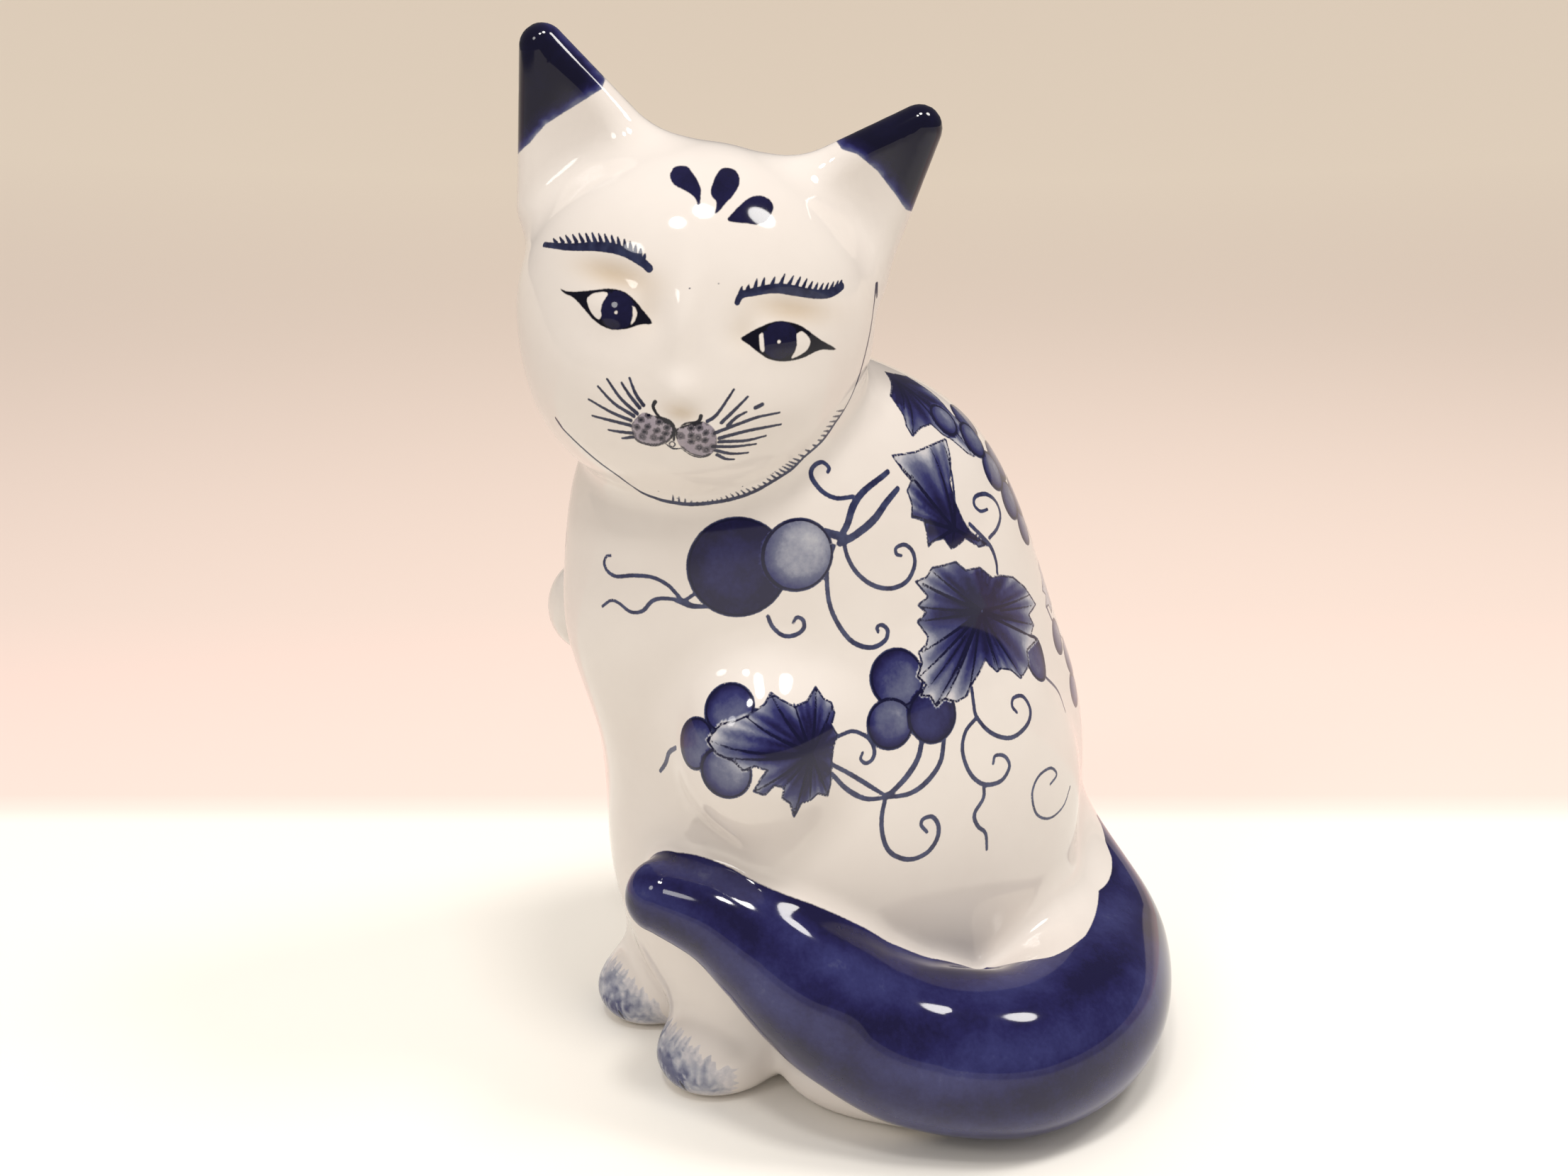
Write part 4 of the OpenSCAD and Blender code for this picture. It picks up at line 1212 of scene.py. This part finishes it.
def paper():
    """White near the cat and rosier beyond a straight line behind it."""
    m = Material("paper")
    back = m.add("VectorMath")
    back.operation = "DOT_PRODUCT"
    turn = math.radians(CAMERA_TURN)
    back.inputs[1].default_value = (-math.sin(turn), math.cos(turn), 0)
    m.put(m.where, back.inputs[0])
    far = m.add("MapRange")
    far.inputs["From Min"].default_value = PAPER_LINE
    far.inputs["From Max"].default_value = PAPER_LINE + 3.0
    m.put(back.outputs["Value"], far.inputs["Value"])
    m.put(m.ramp(far.outputs["Result"], (0.0, (0.94, 0.91, 0.85)), (0.006, (0.90, 0.69, 0.63)),
                 (0.08, (0.82, 0.68, 0.61)), (1.0, (1.0, 0.88, 0.74))), m.shader["Base Color"])
    m.put(0.8, m.shader["Roughness"])
    m.put(0.15, m.shader["Specular IOR Level"])
    return m.data


# ---------------------------------------------------------------- cat

FACE_SIDE, BODY_SIDE = 0.32, 0.62  # shortest side a triangle may be cut to, where the paint has an edge


def finest(points):
    """The face is drawn finer than the body."""
    q = in_head(points)
    return np.where((q[:, 1] < 0) & (np.abs(q[:, 2]) < 40) & (np.abs(q[:, 0]) < 42), FACE_SIDE, BODY_SIDE)


def build_cat():
    points, quads = skin(sampled())
    points = spaced(points, quads)
    faces = cut_square(points, quads)
    apart = islands_joined(points, faces, in_chunks(label_distances, points))
    points, faces, labels = seamed(points, faces, apart)
    base_slope = unit(slope(points))
    base = points, faces, labels, base_slope
    marks = vine_marks() + back_marks() + [tail_area()] + paw_marks(1) + paw_marks(-1) + face_marks()
    state = coloured(points, marks)
    halves = {}
    for _ in range(4):
        edges, sides = edge_table(faces)
        a, b = edges.T
        long = np.linalg.norm(points[a] - points[b], axis=1)
        edge = np.minimum(np.abs(state["ink"]), np.abs(state["fill"]))
        near = np.minimum(edge[a], edge[b])
        split = (long > 1.25 * np.minimum(finest(points[a]), finest(points[b]))) & (near < 0.8 * long)
        if not split.any():
            break
        before = len(points)
        points, faces, labels, cut = halved(points, faces, labels, split, edges, sides)
        halves.update(cut)
        added = coloured(points[before:], marks)
        state = {name: np.concatenate([state[name], added[name]]) for name in state}
    normals = unit(np.vstack([base_slope, slope(points[len(base_slope):])]))
    fine, glazed = (points, faces, labels, normals), glaze()
    for kind, name in enumerate(PIECES):
        shell(name, kind, base, fine, halves, state).data.materials.append(glazed)


build_cat()
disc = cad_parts["base_disc"].data
disc.materials.clear()
disc.materials.append(clay())


# ---------------------------------------------------------------- setting

CAMERA_SPOT, CAMERA_TURN, CAMERA_DIP, LENS = (309.0, -199.0, 235.0), 59.0, 17.5, 34.18
PAPER_LINE = 0.118  # metres behind the cat, as the camera sees it, where the floor turns rosier
FLOOR_RINGS = [0, 0.5, 1.0, 1.5, 2.0, 2.4, 2.8, 3.2, 3.6, 4.0, 4.6, 5.2, 6.0]
FLOOR_SPOKES, FLOOR_FLAT, FLOOR_RISE = 72, 1.5, 0.036
LAMP_AIM, LAMP_TINT = (0, 0, 0.16), (1, 0.97, 0.93)
LAMPS = [  # name, turn from the cat's front towards its left, rise, distance, width, power, tint
    ("lamp near", 38, 64, 1.3, 0.16, 3.1, LAMP_TINT), ("lamp middle", 70, 74, 1.3, 0.22, 5.0, LAMP_TINT),
    ("lamp far", 138, 60, 1.3, 0.30, 4.6, LAMP_TINT), ("window", 14, 40, 1.5, 0.31, 2.0, (1, 0.98, 0.95))]


def set_camera():
    data = bpy.data.cameras.new("camera")
    data.lens = LENS
    data.sensor_width = 36
    data.clip_start = 0.01
    camera = bpy.data.objects.new("camera", data)
    camera.location = np.array(CAMERA_SPOT) * MM + HOME
    camera.rotation_euler = (math.radians(90 - CAMERA_DIP), 0, math.radians(CAMERA_TURN))
    bpy.context.scene.collection.objects.link(camera)
    bpy.context.scene.camera = camera


def set_lamp(name, turn, rise, far, size, power, tint):
    data = bpy.data.lights.new(name, "AREA")
    data.shape = "DISK"
    data.size = size
    data.energy = power
    data.color = tint
    a, b = math.radians(turn), math.radians(rise)
    way = Vector((math.sin(a) * math.cos(b), -math.cos(a) * math.cos(b), math.sin(b)))
    body = bpy.data.objects.new(name, data)
    body.location = Vector(LAMP_AIM) + way * far
    body.rotation_euler = (-way).to_track_quat("-Z", "Y").to_euler()
    bpy.context.scene.collection.objects.link(body)


def set_floor():
    """A paper sheet that rises gently into the distance."""
    spokes = FLOOR_SPOKES
    points = [(0, 0, 0)]
    for r in FLOOR_RINGS[1:]:
        z = FLOOR_RISE * max(0.0, r - FLOOR_FLAT) ** 2
        points += [(r * math.cos(2 * math.pi * i / spokes), r * math.sin(2 * math.pi * i / spokes), z)
                   for i in range(spokes)]
    faces = [(0, 1 + i, 1 + (i + 1) % spokes) for i in range(spokes)]
    for k in range(len(FLOOR_RINGS) - 2):
        a = 1 + k * spokes
        faces += [(a + i, a + spokes + i, a + spokes + (i + 1) % spokes, a + (i + 1) % spokes)
                  for i in range(spokes)]
    mesh = bpy.data.meshes.new("floor")
    mesh.from_pydata(points, [], faces)
    mesh.polygons.foreach_set("use_smooth", [True] * len(faces))
    floor = bpy.data.objects.new("floor", mesh)
    bpy.context.scene.collection.objects.link(floor)
    mesh.materials.append(paper())


def set_world():
    world = bpy.data.worlds.new("studio")
    bpy.context.scene.world = world
    world.use_nodes = True
    tree = world.node_tree
    soft = tree.nodes["Background"]
    way = tree.nodes.new("ShaderNodeTexCoord")
    split = tree.nodes.new("ShaderNodeSeparateXYZ")
    sky = tree.nodes.new("ShaderNodeMapRange")
    sky.inputs["To Min"].default_value = 0.34
    sky.inputs["To Max"].default_value = 0.94
    tree.links.new(way.outputs["Generated"], split.inputs[0])
    tree.links.new(split.outputs["Z"], sky.inputs["Value"])
    tree.links.new(sky.outputs["Result"], soft.inputs["Strength"])
    soft.inputs["Color"].default_value = (1.0, 0.95, 0.90, 1)
    dim = tree.nodes.new("ShaderNodeBackground")
    dim.inputs["Color"].default_value = (1.0, 0.92, 0.88, 1)
    dim.inputs["Strength"].default_value = 0.14
    path = tree.nodes.new("ShaderNodeLightPath")
    both = tree.nodes.new("ShaderNodeMixShader")
    tree.links.new(path.outputs["Is Glossy Ray"], both.inputs["Fac"])
    tree.links.new(soft.outputs[0], both.inputs[1])
    tree.links.new(dim.outputs[0], both.inputs[2])
    tree.links.new(both.outputs[0], tree.nodes["World Output"].inputs["Surface"])


set_camera()
set_floor()
set_world()
for lamp in LAMPS:
    set_lamp(*lamp)
bpy.context.scene.view_settings.view_transform = "Standard"
